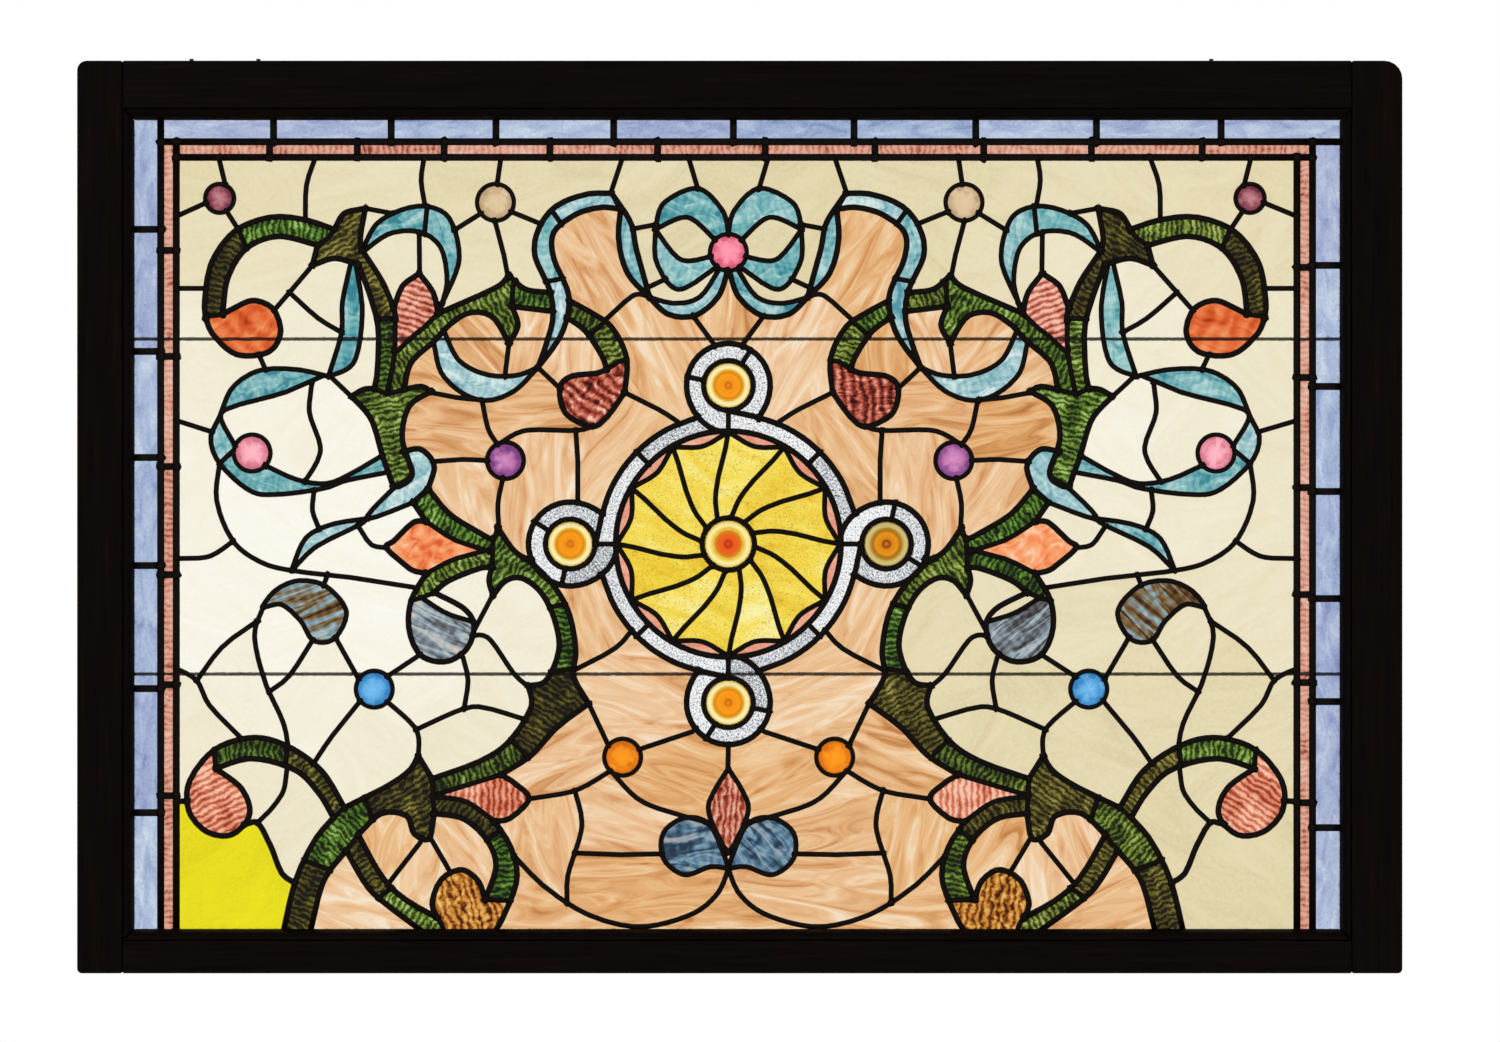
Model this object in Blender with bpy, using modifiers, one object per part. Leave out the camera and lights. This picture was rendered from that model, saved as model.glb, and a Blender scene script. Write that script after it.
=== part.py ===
"""A leaded glass window panel in its wooden sash, in metres, +Z up.

The panel faces -Y. The origin is the middle of the sash's top edge, by which it is hung or fixed.
The leading is drawn once, as a cartoon in picture units, and the cartoon is stretched to the
field inside the border strips, so it follows the sash and the border when a size changes.
"""

import math

import bmesh
import bpy
from mathutils import Vector
from mathutils.geometry import delaunay_2d_cdt

# Sash, in metres
SASH_WIDTH = 1.105
SASH_HEIGHT = 0.761
SASH_DEPTH = 0.035
STILE_LEFT_FACE = 0.0375
STILE_RIGHT_FACE = 0.042
RAIL_TOP_FACE = 0.0396
RAIL_BOTTOM_FACE = 0.027
CORNER_TOP_LEFT = 0.008
CORNER_TOP_RIGHT = 0.015
CORNER_BOTTOM = 0.004
LIP_WIDTH = 0.0085
LIP_DEPTH = 0.011
BEAD_WIDTH = 0.0095
BEAD_DEPTH = 0.013
BEAD_THIN_EDGE = 0.004

# Leaded panel, in metres
GAP = 0.0003
EDGE_CLEARANCE = 0.0008
EDGE_CAME = 0.006
BORDER_CAME = 0.005
OUTLINE_CAME = 0.0048
FIELD_CAME = 0.0040
RING_CAME = 0.0050
CAME_DEPTH = 0.006
FLANGE_DEPTH = 0.0012
GLASS_DEPTH = 0.003
BAR_DIAMETER = 0.003

# Border strips, in metres, from the sight edge to the middle of the came inside each
BLUE_STRIP_LEFT = 0.0217
BLUE_STRIP_TOP = 0.0179
BLUE_STRIP_RIGHT = 0.0225
PINK_STRIP = 0.013

# Pressed jewels and rondels, in metres
SMALL_JEWEL_RADIUS = 0.0102
JEWEL_RADIUS = 0.0135
RONDEL_RADIUS = 0.0193
CENTRE_RONDEL_RADIUS = 0.0204
JEWEL_DOME = 0.0052
RONDEL_DOME = 0.0045
TURNING_STEPS = 12

# Cartoon frame, in picture units: the field inside the border, the axis that the design mirrors
# about, and how much wider the right half is drawn than the left
FIELD_LEFT_PX = 174.5
FIELD_RIGHT_PX = 1298
FIELD_TOP_PX = 157
FIELD_BOTTOM_PX = 928
AXIS_PX = 728
MIRROR_STRETCH = 0.00005
CURVE_TOLERANCE = 0.002

MM = 1000.0

# The lines of the left half that part the glass into its colours, each a came right through
THROUGH_LINES = {
    "scroll_1_back": [(204, 318), (203, 300), (210, 262), (233, 231), (268, 217), (302, 219), (333, 229)],
    "bud_1": [
        (204, 318), (212, 335), (235, 354), (266, 352), (279, 333), (272, 309), (252, 300), (232, 308), (221, 314),
    ],
    "scroll_1_inside": [(221, 314), (226, 278), (245, 248), (277, 236), (316, 245)],
    "calyx_1_top": [(333, 229), (343, 213), (364, 208)],
    "calyx_1_right": [(364, 208), (359, 237), (361, 250)],
    "calyx_1_wing": [(316, 245), (311, 265)],
    "calyx_1_foot": [(311, 265), (333, 258), (357, 264)],
    "stem_a_left": [(357, 264), (369, 296), (377, 329), (376, 371), (373, 388)],
    "stem_a_right": [(361, 250), (381, 281), (393, 310)],
    "bud_2_left": [(418, 273), (401, 286), (393, 308)],
    "bud_2_right": [(418, 273), (432, 292), (437, 313)],
    "stem_b_under": [(403, 389), (410, 362), (433, 341), (450, 323), (470, 312), (492, 317), (508, 343)],
    "calyx_3_top": [(437, 313), (465, 301), (497, 286), (508, 275)],
    "calyx_3_right": [(508, 275), (525, 289), (550, 292)],
    "calyx_3_lobe": [(511, 306), (517, 325), (508, 343)],
    "scroll_3_under": [(511, 306), (552, 311)],
    "ribbon_4_back": [
        (611, 193), (585, 194), (555, 206), (538, 228), (534, 255), (549, 290), (552, 318), (545, 345), (537, 367),
    ],
    "ribbon_4_inside": [
        (620, 209), (600, 207), (575, 214), (553, 232), (553, 258), (568, 296), (561, 333), (537, 367),
    ],
    "ribbon_4_limb_out": [(611, 193), (630, 222), (636, 250), (649, 297)],
    "ribbon_4_limb_in": [(620, 209), (618, 240), (627, 273), (649, 297)],
    "scroll_3_back": [(567, 300), (592, 313), (612, 328), (626, 358), (624, 392)],
    "bud_3": [
        (624, 392), (605, 418), (590, 426), (565, 413), (559, 388), (570, 376), (595, 373), (606, 369),
    ],
    "scroll_3_inside": [(566, 317), (585, 331), (601, 355), (606, 369)],
    "calyx_2_wing_left": [(350, 396), (362, 389), (373, 388)],
    "calyx_2_wing_right": [(403, 389), (420, 386), (430, 391)],
    "calyx_2_left": [(350, 396), (370, 419), (381, 455), (392, 486)],
    "calyx_2_right": [(430, 391), (408, 406), (401, 438), (411, 473), (400, 485), (392, 486)],
    "ribbon_7_back": [(402, 451), (420, 449), (433, 465), (427, 488)],
    "ribbon_7_foot": [(427, 488), (412, 502)],
    "stem_c_back": [(427, 488), (448, 513), (478, 532), (492, 538), (497, 527)],
    "stem_c_front": [(412, 502), (425, 521)],
    "bud_4": [(425, 521), (412, 522), (393, 540), (385, 547), (402, 563), (412, 570), (425, 573)],
    "bud_5": [
        (425, 573), (410, 600), (408, 630), (420, 655), (445, 661), (466, 648), (473, 625), (463, 608), (433, 592),
    ],
    "scroll_4_inside": [(433, 592), (448, 580), (478, 568), (491, 567)],
    "calyx_4_wing": [(491, 567), (488, 580), (492, 595)],
    "stem_d_back": [
        (497, 527), (513, 550), (534, 565), (555, 588), (569, 615), (575, 650), (573, 676), (588, 703),
    ],
    "stem_d_front": [
        (492, 595), (505, 580), (522, 578), (541, 593), (554, 620), (558, 650), (545, 680), (527, 685),
    ],
    "stem_e_back": [(527, 685), (530, 707), (508, 741), (478, 761), (431, 778)],
    "stem_e_front": [(588, 703), (556, 727), (530, 755), (500, 774)],
    "bud_8": [(500, 774), (513, 782), (528, 798), (510, 817), (494, 821)],
    "scroll_7_back": [(494, 821), (510, 847), (516, 878), (503, 915), (491, 930)],
    "scroll_7_inside": [(484, 899), (495, 865), (485, 838), (462, 818), (433, 813)],
    "bud_10": [
        (484, 899), (477, 880), (460, 869), (440, 879), (431, 902), (436, 917),
    ],
    "calyx_6_right": [(417, 755), (431, 778)],
    "calyx_6_lobe": [(433, 813), (428, 838), (413, 833), (405, 815), (380, 813), (357, 834)],
    "calyx_6_back": [(417, 755), (408, 770), (385, 786), (343, 807)],
    "scroll_5_back": [
        (343, 807), (320, 770), (285, 745), (250, 737), (213, 749), (188, 780), (187, 810), (205, 831), (230, 834),
        (248, 814), (240, 788), (214, 768),
    ],
    "scroll_5_inside": [(332, 817), (317, 792), (293, 769), (250, 758), (214, 768)],
    "stem_f_back": [(332, 817), (313, 840), (294, 880), (281, 931)],
    "stem_f_front": [(345, 850), (322, 881), (308, 931)],
    "scroll_6_front": [(345, 850), (367, 887), (392, 909), (427, 931)],
    "scroll_6_back": [(357, 834), (380, 875), (403, 898), (436, 917)],
    "corner_lead": [(244, 825), (256, 822), (269, 845), (280, 872), (293, 882)],
    "corner_stub": [(174, 801), (186, 800)],
    "bow_band_under": [(649, 297), (668, 314), (695, 315), (718, 296), (727, 270)],
    "ring_touch": [(535, 558), (522, 560)],
    "calyx_6_neck": [(431, 778), (432, 813)],
    "jewel_plum_tie": [(206, 202), (174, 216)],
    "jewel_cream_tie": [(500, 157), (496, 186)],
    "jewel_violet_tie": [(502, 477), (497, 528)],
    "jewel_pink_tie": [(266, 467), (295, 479), (325, 483), (350, 473), (381, 455)],
    "jewel_blue_tie": [(388, 703), (415, 729), (417, 756)],
    "jewel_orange_tie": [(588, 703), (608, 745)],
}

# Wheel and ring at the centre, in picture units from the wheel's centre
WHEEL_PX = (728, 543.5)
WHEEL_INNER_PX = 113
WHEEL_OUTER_PX = 130
WHEEL_OUTER_FROM_DEG = 105
WHEEL_OUTER_TO_DEG = 180
SATELLITE_OFFSET_PX = 158.5
SATELLITE_RING_PX = 42
SATELLITE_DROP_PX = 5
SPOKES = 12
SPOKE_HUB_PX = 28
SPOKE_TIP_PX = 112
SPOKE_TWIST_DEG = 24

# Jewels of the left half and how each is called
LEFT_JEWELS = {
    "jewel_plum": ((218, 198), SMALL_JEWEL_RADIUS),
    "jewel_cream": ((494.5, 202), JEWEL_RADIUS),
    "jewel_violet": ((504.5, 460), JEWEL_RADIUS),
    "jewel_pink": ((250.5, 452.5), JEWEL_RADIUS),
    "jewel_blue": ((373, 688.5), JEWEL_RADIUS),
    "jewel_orange": ((622, 756.5), JEWEL_RADIUS),
}
ROSE_JEWEL_PX = (728, 252)

# A point in each pane, in picture units, and the pane's name
PANES = {
    "field_cream": (190, 500),
    "field_tan_upper": (650, 370),
    "field_tan_lower": (600, 600),
    "wheel_yellow": (680, 480),
    "ring_white": (619, 597),
    "corner_left": (230, 880),
    "corner_right": (1240, 880),
}
MIRRORED_PANES = {
    "vine_upper": (385, 430),
    "vine_shoot": (600, 330),
    "vine_lower": (565, 640),
    "ribbon_loop": (542, 245),
    "ribbon_limb": (627, 250),
    "scroll_field": (290, 800),
    "foot_field": (400, 840),
    "foot_corner": (345, 900),
}

GLASS_COLOURS = {
    "border_blue": (0.36, 0.45, 0.80),
    "border_pink": (0.76, 0.40, 0.38),
    "field_cream": (0.86, 0.82, 0.62),
    "field_tan": (0.78, 0.52, 0.30),
    "wheel_yellow": (0.92, 0.70, 0.10),
    "ring_white": (0.80, 0.82, 0.86),
    "corner_left": (0.85, 0.78, 0.02),
    "corner_right": (0.86, 0.82, 0.62),
    "vine": (0.10, 0.26, 0.06),
    "ribbon": (0.28, 0.62, 0.66),
    "scroll_field": (0.86, 0.82, 0.62),
    "foot": (0.78, 0.52, 0.30),
}
JEWEL_COLOURS = {
    "jewel_plum": (0.34, 0.10, 0.28),
    "jewel_cream": (0.72, 0.62, 0.46),
    "jewel_violet": (0.34, 0.12, 0.50),
    "jewel_pink": (0.80, 0.32, 0.48),
    "jewel_blue": (0.12, 0.40, 0.78),
    "jewel_orange": (0.90, 0.36, 0.02),
    "jewel_rose": (0.84, 0.16, 0.36),
    "rondel": (0.90, 0.50, 0.04),
}
WOOD_COLOUR = (0.055, 0.020, 0.012)
LEAD_COLOUR = (0.16, 0.16, 0.17)
IRON_COLOUR = (0.07, 0.06, 0.055)

# Places that follow from the sizes
LEFT = -SASH_WIDTH / 2
RIGHT = SASH_WIDTH / 2
TOP = 0.0
BOTTOM = -SASH_HEIGHT
FRONT = -SASH_DEPTH / 2
BACK = SASH_DEPTH / 2
REBATE_LEFT = LEFT + STILE_LEFT_FACE
REBATE_RIGHT = RIGHT - STILE_RIGHT_FACE
REBATE_TOP = TOP - RAIL_TOP_FACE
REBATE_BOTTOM = BOTTOM + RAIL_BOTTOM_FACE
SIGHT_LEFT = REBATE_LEFT + BEAD_WIDTH
SIGHT_RIGHT = REBATE_RIGHT - BEAD_WIDTH
SIGHT_TOP = REBATE_TOP - BEAD_WIDTH
SIGHT_BOTTOM = REBATE_BOTTOM + BEAD_WIDTH
STRIP_LEFT = SIGHT_LEFT + BLUE_STRIP_LEFT
STRIP_RIGHT = SIGHT_RIGHT - BLUE_STRIP_RIGHT
STRIP_TOP = SIGHT_TOP - BLUE_STRIP_TOP
FIELD_LEFT = STRIP_LEFT + PINK_STRIP
FIELD_RIGHT = STRIP_RIGHT - PINK_STRIP
FIELD_TOP = STRIP_TOP - PINK_STRIP
FIELD_BOTTOM = SIGHT_BOTTOM
EDGE_INSET = EDGE_CLEARANCE + EDGE_CAME / 2
LIP_FRONT = BACK - LIP_DEPTH
CAME_BACK = LIP_FRONT - GAP
CAME_FRONT = CAME_BACK - CAME_DEPTH
CAME_MIDDLE = (CAME_FRONT + CAME_BACK) / 2
FLANGE_BACK = CAME_FRONT + FLANGE_DEPTH
BEAD_BACK = CAME_FRONT - GAP


def to_real(point):
    """A cartoon point as (x, z) in metres, stretched to the field inside the border."""
    across = (point[0] - FIELD_LEFT_PX) / (FIELD_RIGHT_PX - FIELD_LEFT_PX)
    down = (point[1] - FIELD_TOP_PX) / (FIELD_BOTTOM_PX - FIELD_TOP_PX)
    x = FIELD_LEFT + across * (FIELD_RIGHT - FIELD_LEFT)
    z = FIELD_TOP + down * (FIELD_BOTTOM - FIELD_TOP)
    return x, z


def line_point(point):
    """A point of a line in millimetres: one drawn past the field stops at the field's came."""
    x, z = to_real(point)
    x = min(max(x, FIELD_LEFT), FIELD_RIGHT)
    z = min(z, FIELD_TOP)
    if point[1] > FIELD_BOTTOM_PX:
        z = REBATE_BOTTOM + EDGE_INSET
    return x * MM, z * MM


def mirror_point(point):
    """The same place on the right half, which is drawn a little wider."""
    reach = AXIS_PX - point[0]
    return AXIS_PX + reach * (1 + MIRROR_STRETCH * reach), point[1]


def make_material(name, colour, roughness, metallic=0.0):
    material = bpy.data.materials.new(name)
    material.use_nodes = True
    shader = material.node_tree.nodes["Principled BSDF"]
    shader.inputs["Base Color"].default_value = (*colour, 1.0)
    shader.inputs["Roughness"].default_value = roughness
    shader.inputs["Metallic"].default_value = metallic
    material.diffuse_color = (*colour, 1.0)
    return material


def add_object(name, mesh, material, collection):
    item = bpy.data.objects.new(name, mesh)
    item.data.materials.append(material)
    collection.objects.link(item)
    return item


def mesh_from(work, name):
    mesh = bpy.data.meshes.new(name)
    work.to_mesh(mesh)
    work.free()
    return mesh


def smooth_curve(points, steps=6):
    """A Catmull-Rom curve through the points, which goes round if it ends where it starts."""
    if len(points) < 3:
        return list(points)
    closed = points[0] == points[-1]
    before = points[-2] if closed else points[0]
    after = points[1] if closed else points[-1]
    knots = [before] + list(points) + [after]
    curve = [points[0]]
    for index in range(1, len(knots) - 2):
        a, b, c, d = (Vector(knots[index + offset]) for offset in (-1, 0, 1, 2))
        for step in range(1, steps + 1):
            t = step / steps
            curve.append(
                0.5 * ((2 * b) + (c - a) * t + (2 * a - 5 * b + 4 * c - d) * t * t
                       + (3 * b - a - 3 * c + d) * t * t * t)
            )
    return [tuple(point) for point in curve]


def thin_out(points, tolerance):
    """Keeps only the points that a curve needs to stay within the tolerance."""
    if len(points) < 3:
        return points
    start, end = Vector(points[0]), Vector(points[-1])
    chord = end - start
    worst, split = 0.0, 0
    for index in range(1, len(points) - 1):
        offset = Vector(points[index]) - start
        if chord.length > tolerance:
            distance = abs(chord.x * offset.y - chord.y * offset.x) / chord.length
        else:
            distance = offset.length
        if distance > worst:
            worst, split = distance, index
    if worst <= tolerance:
        return [points[0], points[-1]]
    return thin_out(points[:split + 1], tolerance)[:-1] + thin_out(points[split:], tolerance)


def polar(centre, radius, degrees):
    angle = math.radians(degrees)
    return centre[0] + radius * math.cos(angle), centre[1] - radius * math.sin(angle)


def ring_points(centre_px, radius, sides=TURNING_STEPS):
    """A ring round a jewel, true to size whatever the sash does, as (x, z) in millimetres."""
    x, z = to_real(centre_px)
    turn = 2 * math.pi / sides
    return [
        ((x + radius * math.cos(turn * i)) * MM, (z + radius * math.sin(turn * i)) * MM)
        for i in range(sides)
    ]


def jewel_places():
    """Every jewel and rondel: name, cartoon place and radius."""
    places = []
    for name, (place, radius) in LEFT_JEWELS.items():
        places.append((name + "_left", place, radius))
        places.append((name + "_right", mirror_point(place), radius))
    places.append(("jewel_rose", ROSE_JEWEL_PX, JEWEL_RADIUS))
    for index, side in enumerate(("top", "left", "bottom", "right")):
        centre = polar(WHEEL_PX, SATELLITE_OFFSET_PX, 90 + 90 * index)
        places.append(("rondel_" + side, centre, RONDEL_RADIUS))
    places.append(("rondel_centre", WHEEL_PX, CENTRE_RONDEL_RADIUS))
    return places


def meet_ring(point):
    """An end of a line that comes to a jewel stops in the middle of the jewel's ring."""
    for _, place, radius in jewel_places():
        middle = Vector(to_real(place)) * MM
        reach = (radius + GAP + RING_CAME / 2) * MM
        offset = Vector(point) - middle
        if offset.length < reach + RING_CAME * MM:
            return tuple(middle + offset.normalized() * reach)
    return point


class Cartoon:
    """Collects the strokes of the leading as quadrilaterals in millimetres."""

    def __init__(self, extra):
        self.points = []
        self.quads = []
        self.through = []
        self.extra = extra * MM

    def stroke(self, points, width, through, closed=False):
        """One came along points given in millimetres, with mitred bends and square ends."""
        half = width * MM / 2 + self.extra
        path = [Vector(point) for point in points]
        count = len(path)
        if not closed:
            first = (path[0] - path[1]).normalized()
            last = (path[-1] - path[-2]).normalized()
            path[0] = path[0] + first * half * 0.5
            path[-1] = path[-1] + last * half * 0.5
        left, right = [], []
        for index in range(count):
            before = path[index - 1] if closed or index else None
            after = path[(index + 1) % count] if closed or index < count - 1 else None
            into = (path[index] - before).normalized() if before is not None else None
            out = (after - path[index]).normalized() if after is not None else None
            along = ((into or out) + (out or into)).normalized()
            side = Vector((-along.y, along.x))
            reference = out or into
            square = max(0.6, abs(side.dot(Vector((-reference.y, reference.x)))))
            left.append(path[index] + side * half / square)
            right.append(path[index] - side * half / square)
        start = len(self.points)
        self.points += left + right
        last_quad = count if closed else count - 1
        for index in range(last_quad):
            follow = (index + 1) % count
            self.quads.append([start + index, start + count + index, start + count + follow, start + follow])
            self.through.append(through)

    def line(self, points_px, width, through, mirrored=False):
        if mirrored:
            points_px = [mirror_point(point) for point in points_px]
        points = [line_point(point) for point in points_px]
        points[0], points[-1] = meet_ring(points[0]), meet_ring(points[-1])
        curve = smooth_curve(points)
        self.stroke(thin_out(curve, CURVE_TOLERANCE * MM), width, through)

    def triangles(self):
        """The plane cut up by every stroke: points, triangles, and how each is covered.

        A triangle is 2 where a came goes right through, 1 under a face lead and 0 on glass.
        """
        points, _, faces, _, _, sources = delaunay_2d_cdt(self.points, [], self.quads, 0, 0.02, True)
        cover = []
        for owners in sources:
            cover.append(max((2 if self.through[owner] else 1 for owner in owners), default=0))
        return points, faces, cover


def draw_border(cartoon):
    """The straight cames of the two strips of narrow panes, along the left, the top and the right."""
    edge_left, edge_right = REBATE_LEFT + EDGE_INSET, REBATE_RIGHT - EDGE_INSET
    edge_top, edge_bottom = REBATE_TOP - EDGE_INSET, REBATE_BOTTOM + EDGE_INSET
    straight = [
        ((STRIP_LEFT, edge_top), (STRIP_LEFT, edge_bottom)),
        ((FIELD_LEFT, STRIP_TOP), (FIELD_LEFT, edge_bottom)),
        ((STRIP_LEFT, STRIP_TOP), (edge_right, STRIP_TOP)),
        ((FIELD_LEFT, FIELD_TOP), (STRIP_RIGHT, FIELD_TOP)),
        ((STRIP_RIGHT, STRIP_TOP), (STRIP_RIGHT, edge_bottom)),
        ((FIELD_RIGHT, STRIP_TOP), (FIELD_RIGHT, edge_bottom)),
    ]
    for start, end in straight:
        cartoon.stroke([(start[0] * MM, start[1] * MM), (end[0] * MM, end[1] * MM)], BORDER_CAME, True)


def draw_edge(cartoon):
    """The came round the whole panel, hidden under the bead."""
    x0, x1 = (REBATE_LEFT + EDGE_INSET) * MM, (REBATE_RIGHT - EDGE_INSET) * MM
    z0, z1 = (REBATE_BOTTOM + EDGE_INSET) * MM, (REBATE_TOP - EDGE_INSET) * MM
    cartoon.stroke([(x0, z0), (x1, z0), (x1, z1), (x0, z1)], EDGE_CAME, True, closed=True)


def satellite_radius(degrees):
    """The outer line of a small ring, which swells to meet the wheel's ring."""
    return SATELLITE_RING_PX + SATELLITE_DROP_PX * max(0.0, -math.sin(math.radians(degrees))) ** 3


def draw_wheel(cartoon, face_leads):
    """The ring, its four small rings, and the curved spokes, each the same quarter turned round."""
    inner = [polar(WHEEL_PX, WHEEL_INNER_PX, 15 * step + 7.5) for step in range(24)]
    cartoon.stroke([tuple(v * MM for v in to_real(p)) for p in inner], OUTLINE_CAME, True, closed=True)
    for quarter in range(4):
        turn = 90 * quarter
        sweep = WHEEL_OUTER_TO_DEG - WHEEL_OUTER_FROM_DEG
        outer = [
            polar(WHEEL_PX, WHEEL_OUTER_PX, WHEEL_OUTER_FROM_DEG + sweep * step / 6 + turn) for step in range(7)
        ]
        cartoon.line(outer, OUTLINE_CAME, True)
        centre = polar(WHEEL_PX, SATELLITE_OFFSET_PX, 90 + turn)
        small = [
            polar(centre, satellite_radius(degrees), degrees + turn) for degrees in range(-45, 226, 30)
        ]
        cartoon.line(small, OUTLINE_CAME, True)
        if not face_leads:
            continue
        tail = [polar(centre, satellite_radius(degrees), degrees + turn) for degrees in (225, 247, 270)]
        cartoon.line(tail, OUTLINE_CAME, False)
    if not face_leads:
        return
    step_deg = 360 / SPOKES
    for spoke in range(SPOKES):
        spoke_line = []
        for share in (0, 0.5, 1):
            reach = SPOKE_TIP_PX + (SPOKE_HUB_PX - SPOKE_TIP_PX) * share
            spoke_line.append(polar(WHEEL_PX, reach, spoke * step_deg + SPOKE_TWIST_DEG * share ** 1.6))
        cartoon.line(spoke_line, FIELD_CAME, False)


def draw_cartoon(extra, face_leads):
    cartoon = Cartoon(extra)
    draw_edge(cartoon)
    draw_border(cartoon)
    draw_wheel(cartoon, face_leads)
    for _, place, radius in jewel_places():
        ring = ring_points(place, radius + (GAP + RING_CAME / 2) / math.cos(math.pi / TURNING_STEPS))
        cartoon.stroke(ring, RING_CAME, True, closed=True)
    for mirrored in (False, True):
        for points in THROUGH_LINES.values():
            cartoon.line(points, OUTLINE_CAME, True, mirrored)
    return cartoon


def layered_mesh(name, points, faces, cover, layers):
    """A closed mesh from a cut-up plane.

    layers lists (front, back, least cover): a triangle fills a layer where it is covered enough.
    """
    work = bmesh.new()
    levels = [layers[0][0]] + [layer[1] for layer in layers]
    made = {}

    def corner(index, level):
        if (index, level) not in made:
            x, z = points[index]
            made[index, level] = work.verts.new((x / MM, levels[level], z / MM))
        return made[index, level]

    def filled(triangle, layer):
        return 0 <= layer < len(layers) and cover[triangle] >= layers[layer][2]

    neighbours = {}
    for triangle, ring in enumerate(faces):
        for start, end in zip(ring, ring[1:] + ring[:1]):
            neighbours[start, end] = triangle

    caps, walls, used = [], [], set()
    for triangle, ring in enumerate(faces):
        for level in range(len(levels)):
            above, below = filled(triangle, level - 1), filled(triangle, level)
            if above != below:
                caps.append((ring if below else list(reversed(ring)), level))
                used.update((index, level) for index in ring)
        for start, end in zip(ring, ring[1:] + ring[:1]):
            other = neighbours.get((end, start))
            bare = [
                layer for layer in range(len(layers))
                if filled(triangle, layer) and not (other is not None and filled(other, layer))
            ]
            if bare:
                span = (bare[0], bare[-1] + 1)
                walls.append((start, end, span))
                used.update((index, level) for index in (start, end) for level in span)
    for ring, level in caps:
        work.faces.new([corner(index, level) for index in ring])
    for start, end, (first, last) in walls:
        down = [corner(start, level) for level in range(first, last + 1) if (start, level) in used]
        back_up = [corner(end, level) for level in range(last, first - 1, -1) if (end, level) in used]
        work.faces.new(down + back_up)
    bmesh.ops.dissolve_limit(work, angle_limit=math.radians(0.5), verts=work.verts, edges=work.edges)
    return mesh_from(work, name)


def connected_panes(points, faces, cover):
    """The glass inside the panel, gathered into panes: lists of triangles."""
    edges = {}
    for triangle, ring in enumerate(faces):
        for start, end in zip(ring, ring[1:] + ring[:1]):
            edges[start, end] = triangle
    limits = (REBATE_LEFT * MM, REBATE_RIGHT * MM, REBATE_BOTTOM * MM, REBATE_TOP * MM)
    seen = set()
    panes = []
    for first in range(len(faces)):
        if cover[first] or first in seen:
            continue
        pane, waiting = [], [first]
        seen.add(first)
        while waiting:
            triangle = waiting.pop()
            pane.append(triangle)
            ring = faces[triangle]
            for start, end in zip(ring, ring[1:] + ring[:1]):
                other = edges.get((end, start))
                if other is not None and not cover[other] and other not in seen:
                    seen.add(other)
                    waiting.append(other)
        corners = [points[index] for triangle in pane for index in faces[triangle]]
        inside = (
            min(corner.x for corner in corners) > limits[0] and max(corner.x for corner in corners) < limits[1]
            and min(corner.y for corner in corners) > limits[2] and max(corner.y for corner in corners) < limits[3]
        )
        if inside:
            panes.append(pane)
    return panes


def holds(points, ring, place):
    """Whether a triangle, which runs anticlockwise, holds a place."""
    for start, end in zip(ring, ring[1:] + ring[:1]):
        a, b = points[start], points[end]
        if (b.x - a.x) * (place[1] - a.y) - (b.y - a.y) * (place[0] - a.x) < 0:
            return False
    return True


def pane_seeds():
    middle = (SIGHT_TOP + SIGHT_BOTTOM) / 2
    strips = {
        "border_blue_left": ((SIGHT_LEFT + STRIP_LEFT) / 2, middle),
        "border_blue_top": (0.0, (SIGHT_TOP + STRIP_TOP) / 2),
        "border_blue_right": ((SIGHT_RIGHT + STRIP_RIGHT) / 2, middle),
        "border_pink_left": ((STRIP_LEFT + FIELD_LEFT) / 2, middle),
        "border_pink_top": (0.0, (STRIP_TOP + FIELD_TOP) / 2),
        "border_pink_right": ((STRIP_RIGHT + FIELD_RIGHT) / 2, middle),
    }
    seeds = dict(PANES)
    for name, place in MIRRORED_PANES.items():
        seeds[name + "_left"] = place
        seeds[name + "_right"] = mirror_point(place)
    places = {name: to_real(place) for name, place in seeds.items()}
    places.update(strips)
    return {name: (x * MM, z * MM) for name, (x, z) in places.items()}


def colour_for(name, table):
    for start, colour in table.items():
        if name.startswith(start):
            return colour
    raise ValueError("no colour for " + name)


def make_glass(collection):
    """Each pane as one flat piece, a gap clear of the cames round it."""
    points, faces, cover = draw_cartoon(GAP, False).triangles()
    seeds = pane_seeds()
    front = CAME_MIDDLE - GLASS_DEPTH / 2
    back = CAME_MIDDLE + GLASS_DEPTH / 2
    for pane in connected_panes(points, faces, cover):
        names = [
            name for name, place in seeds.items() if any(holds(points, faces[t], place) for t in pane)
        ]
        if not names:
            continue
        chosen = set(pane)
        pane_cover = [1 if index in chosen else 0 for index in range(len(faces))]
        name = names[0]
        mesh = layered_mesh(name, points, faces, pane_cover, [(front, back, 1)])
        material = make_material("glass_" + name, colour_for(name, GLASS_COLOURS), 0.15)
        add_object(name, mesh, material, collection)


def make_leads(collection):
    """The whole lead matrix: through cames, and face leads on the front flange."""
    points, faces, cover = draw_cartoon(0.0, True).triangles()
    layers = [(CAME_FRONT, FLANGE_BACK, 1), (FLANGE_BACK, CAME_BACK, 2)]
    mesh = layered_mesh("lead_matrix", points, faces, cover, layers)
    add_object("lead_matrix", mesh, make_material("lead", LEAD_COLOUR, 0.5, 0.8), collection)


def jewel_profile(radius):
    """A pressed cabochon: a dome over a straight rim, the same behind."""
    rim = GLASS_DEPTH / 2
    return [
        (0.0, rim + JEWEL_DOME), (radius * 0.6, rim + JEWEL_DOME * 0.72), (radius, rim), (radius, -rim),
        (radius * 0.6, -rim - JEWEL_DOME * 0.25), (0.0, -rim - JEWEL_DOME * 0.35),
    ]


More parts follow.
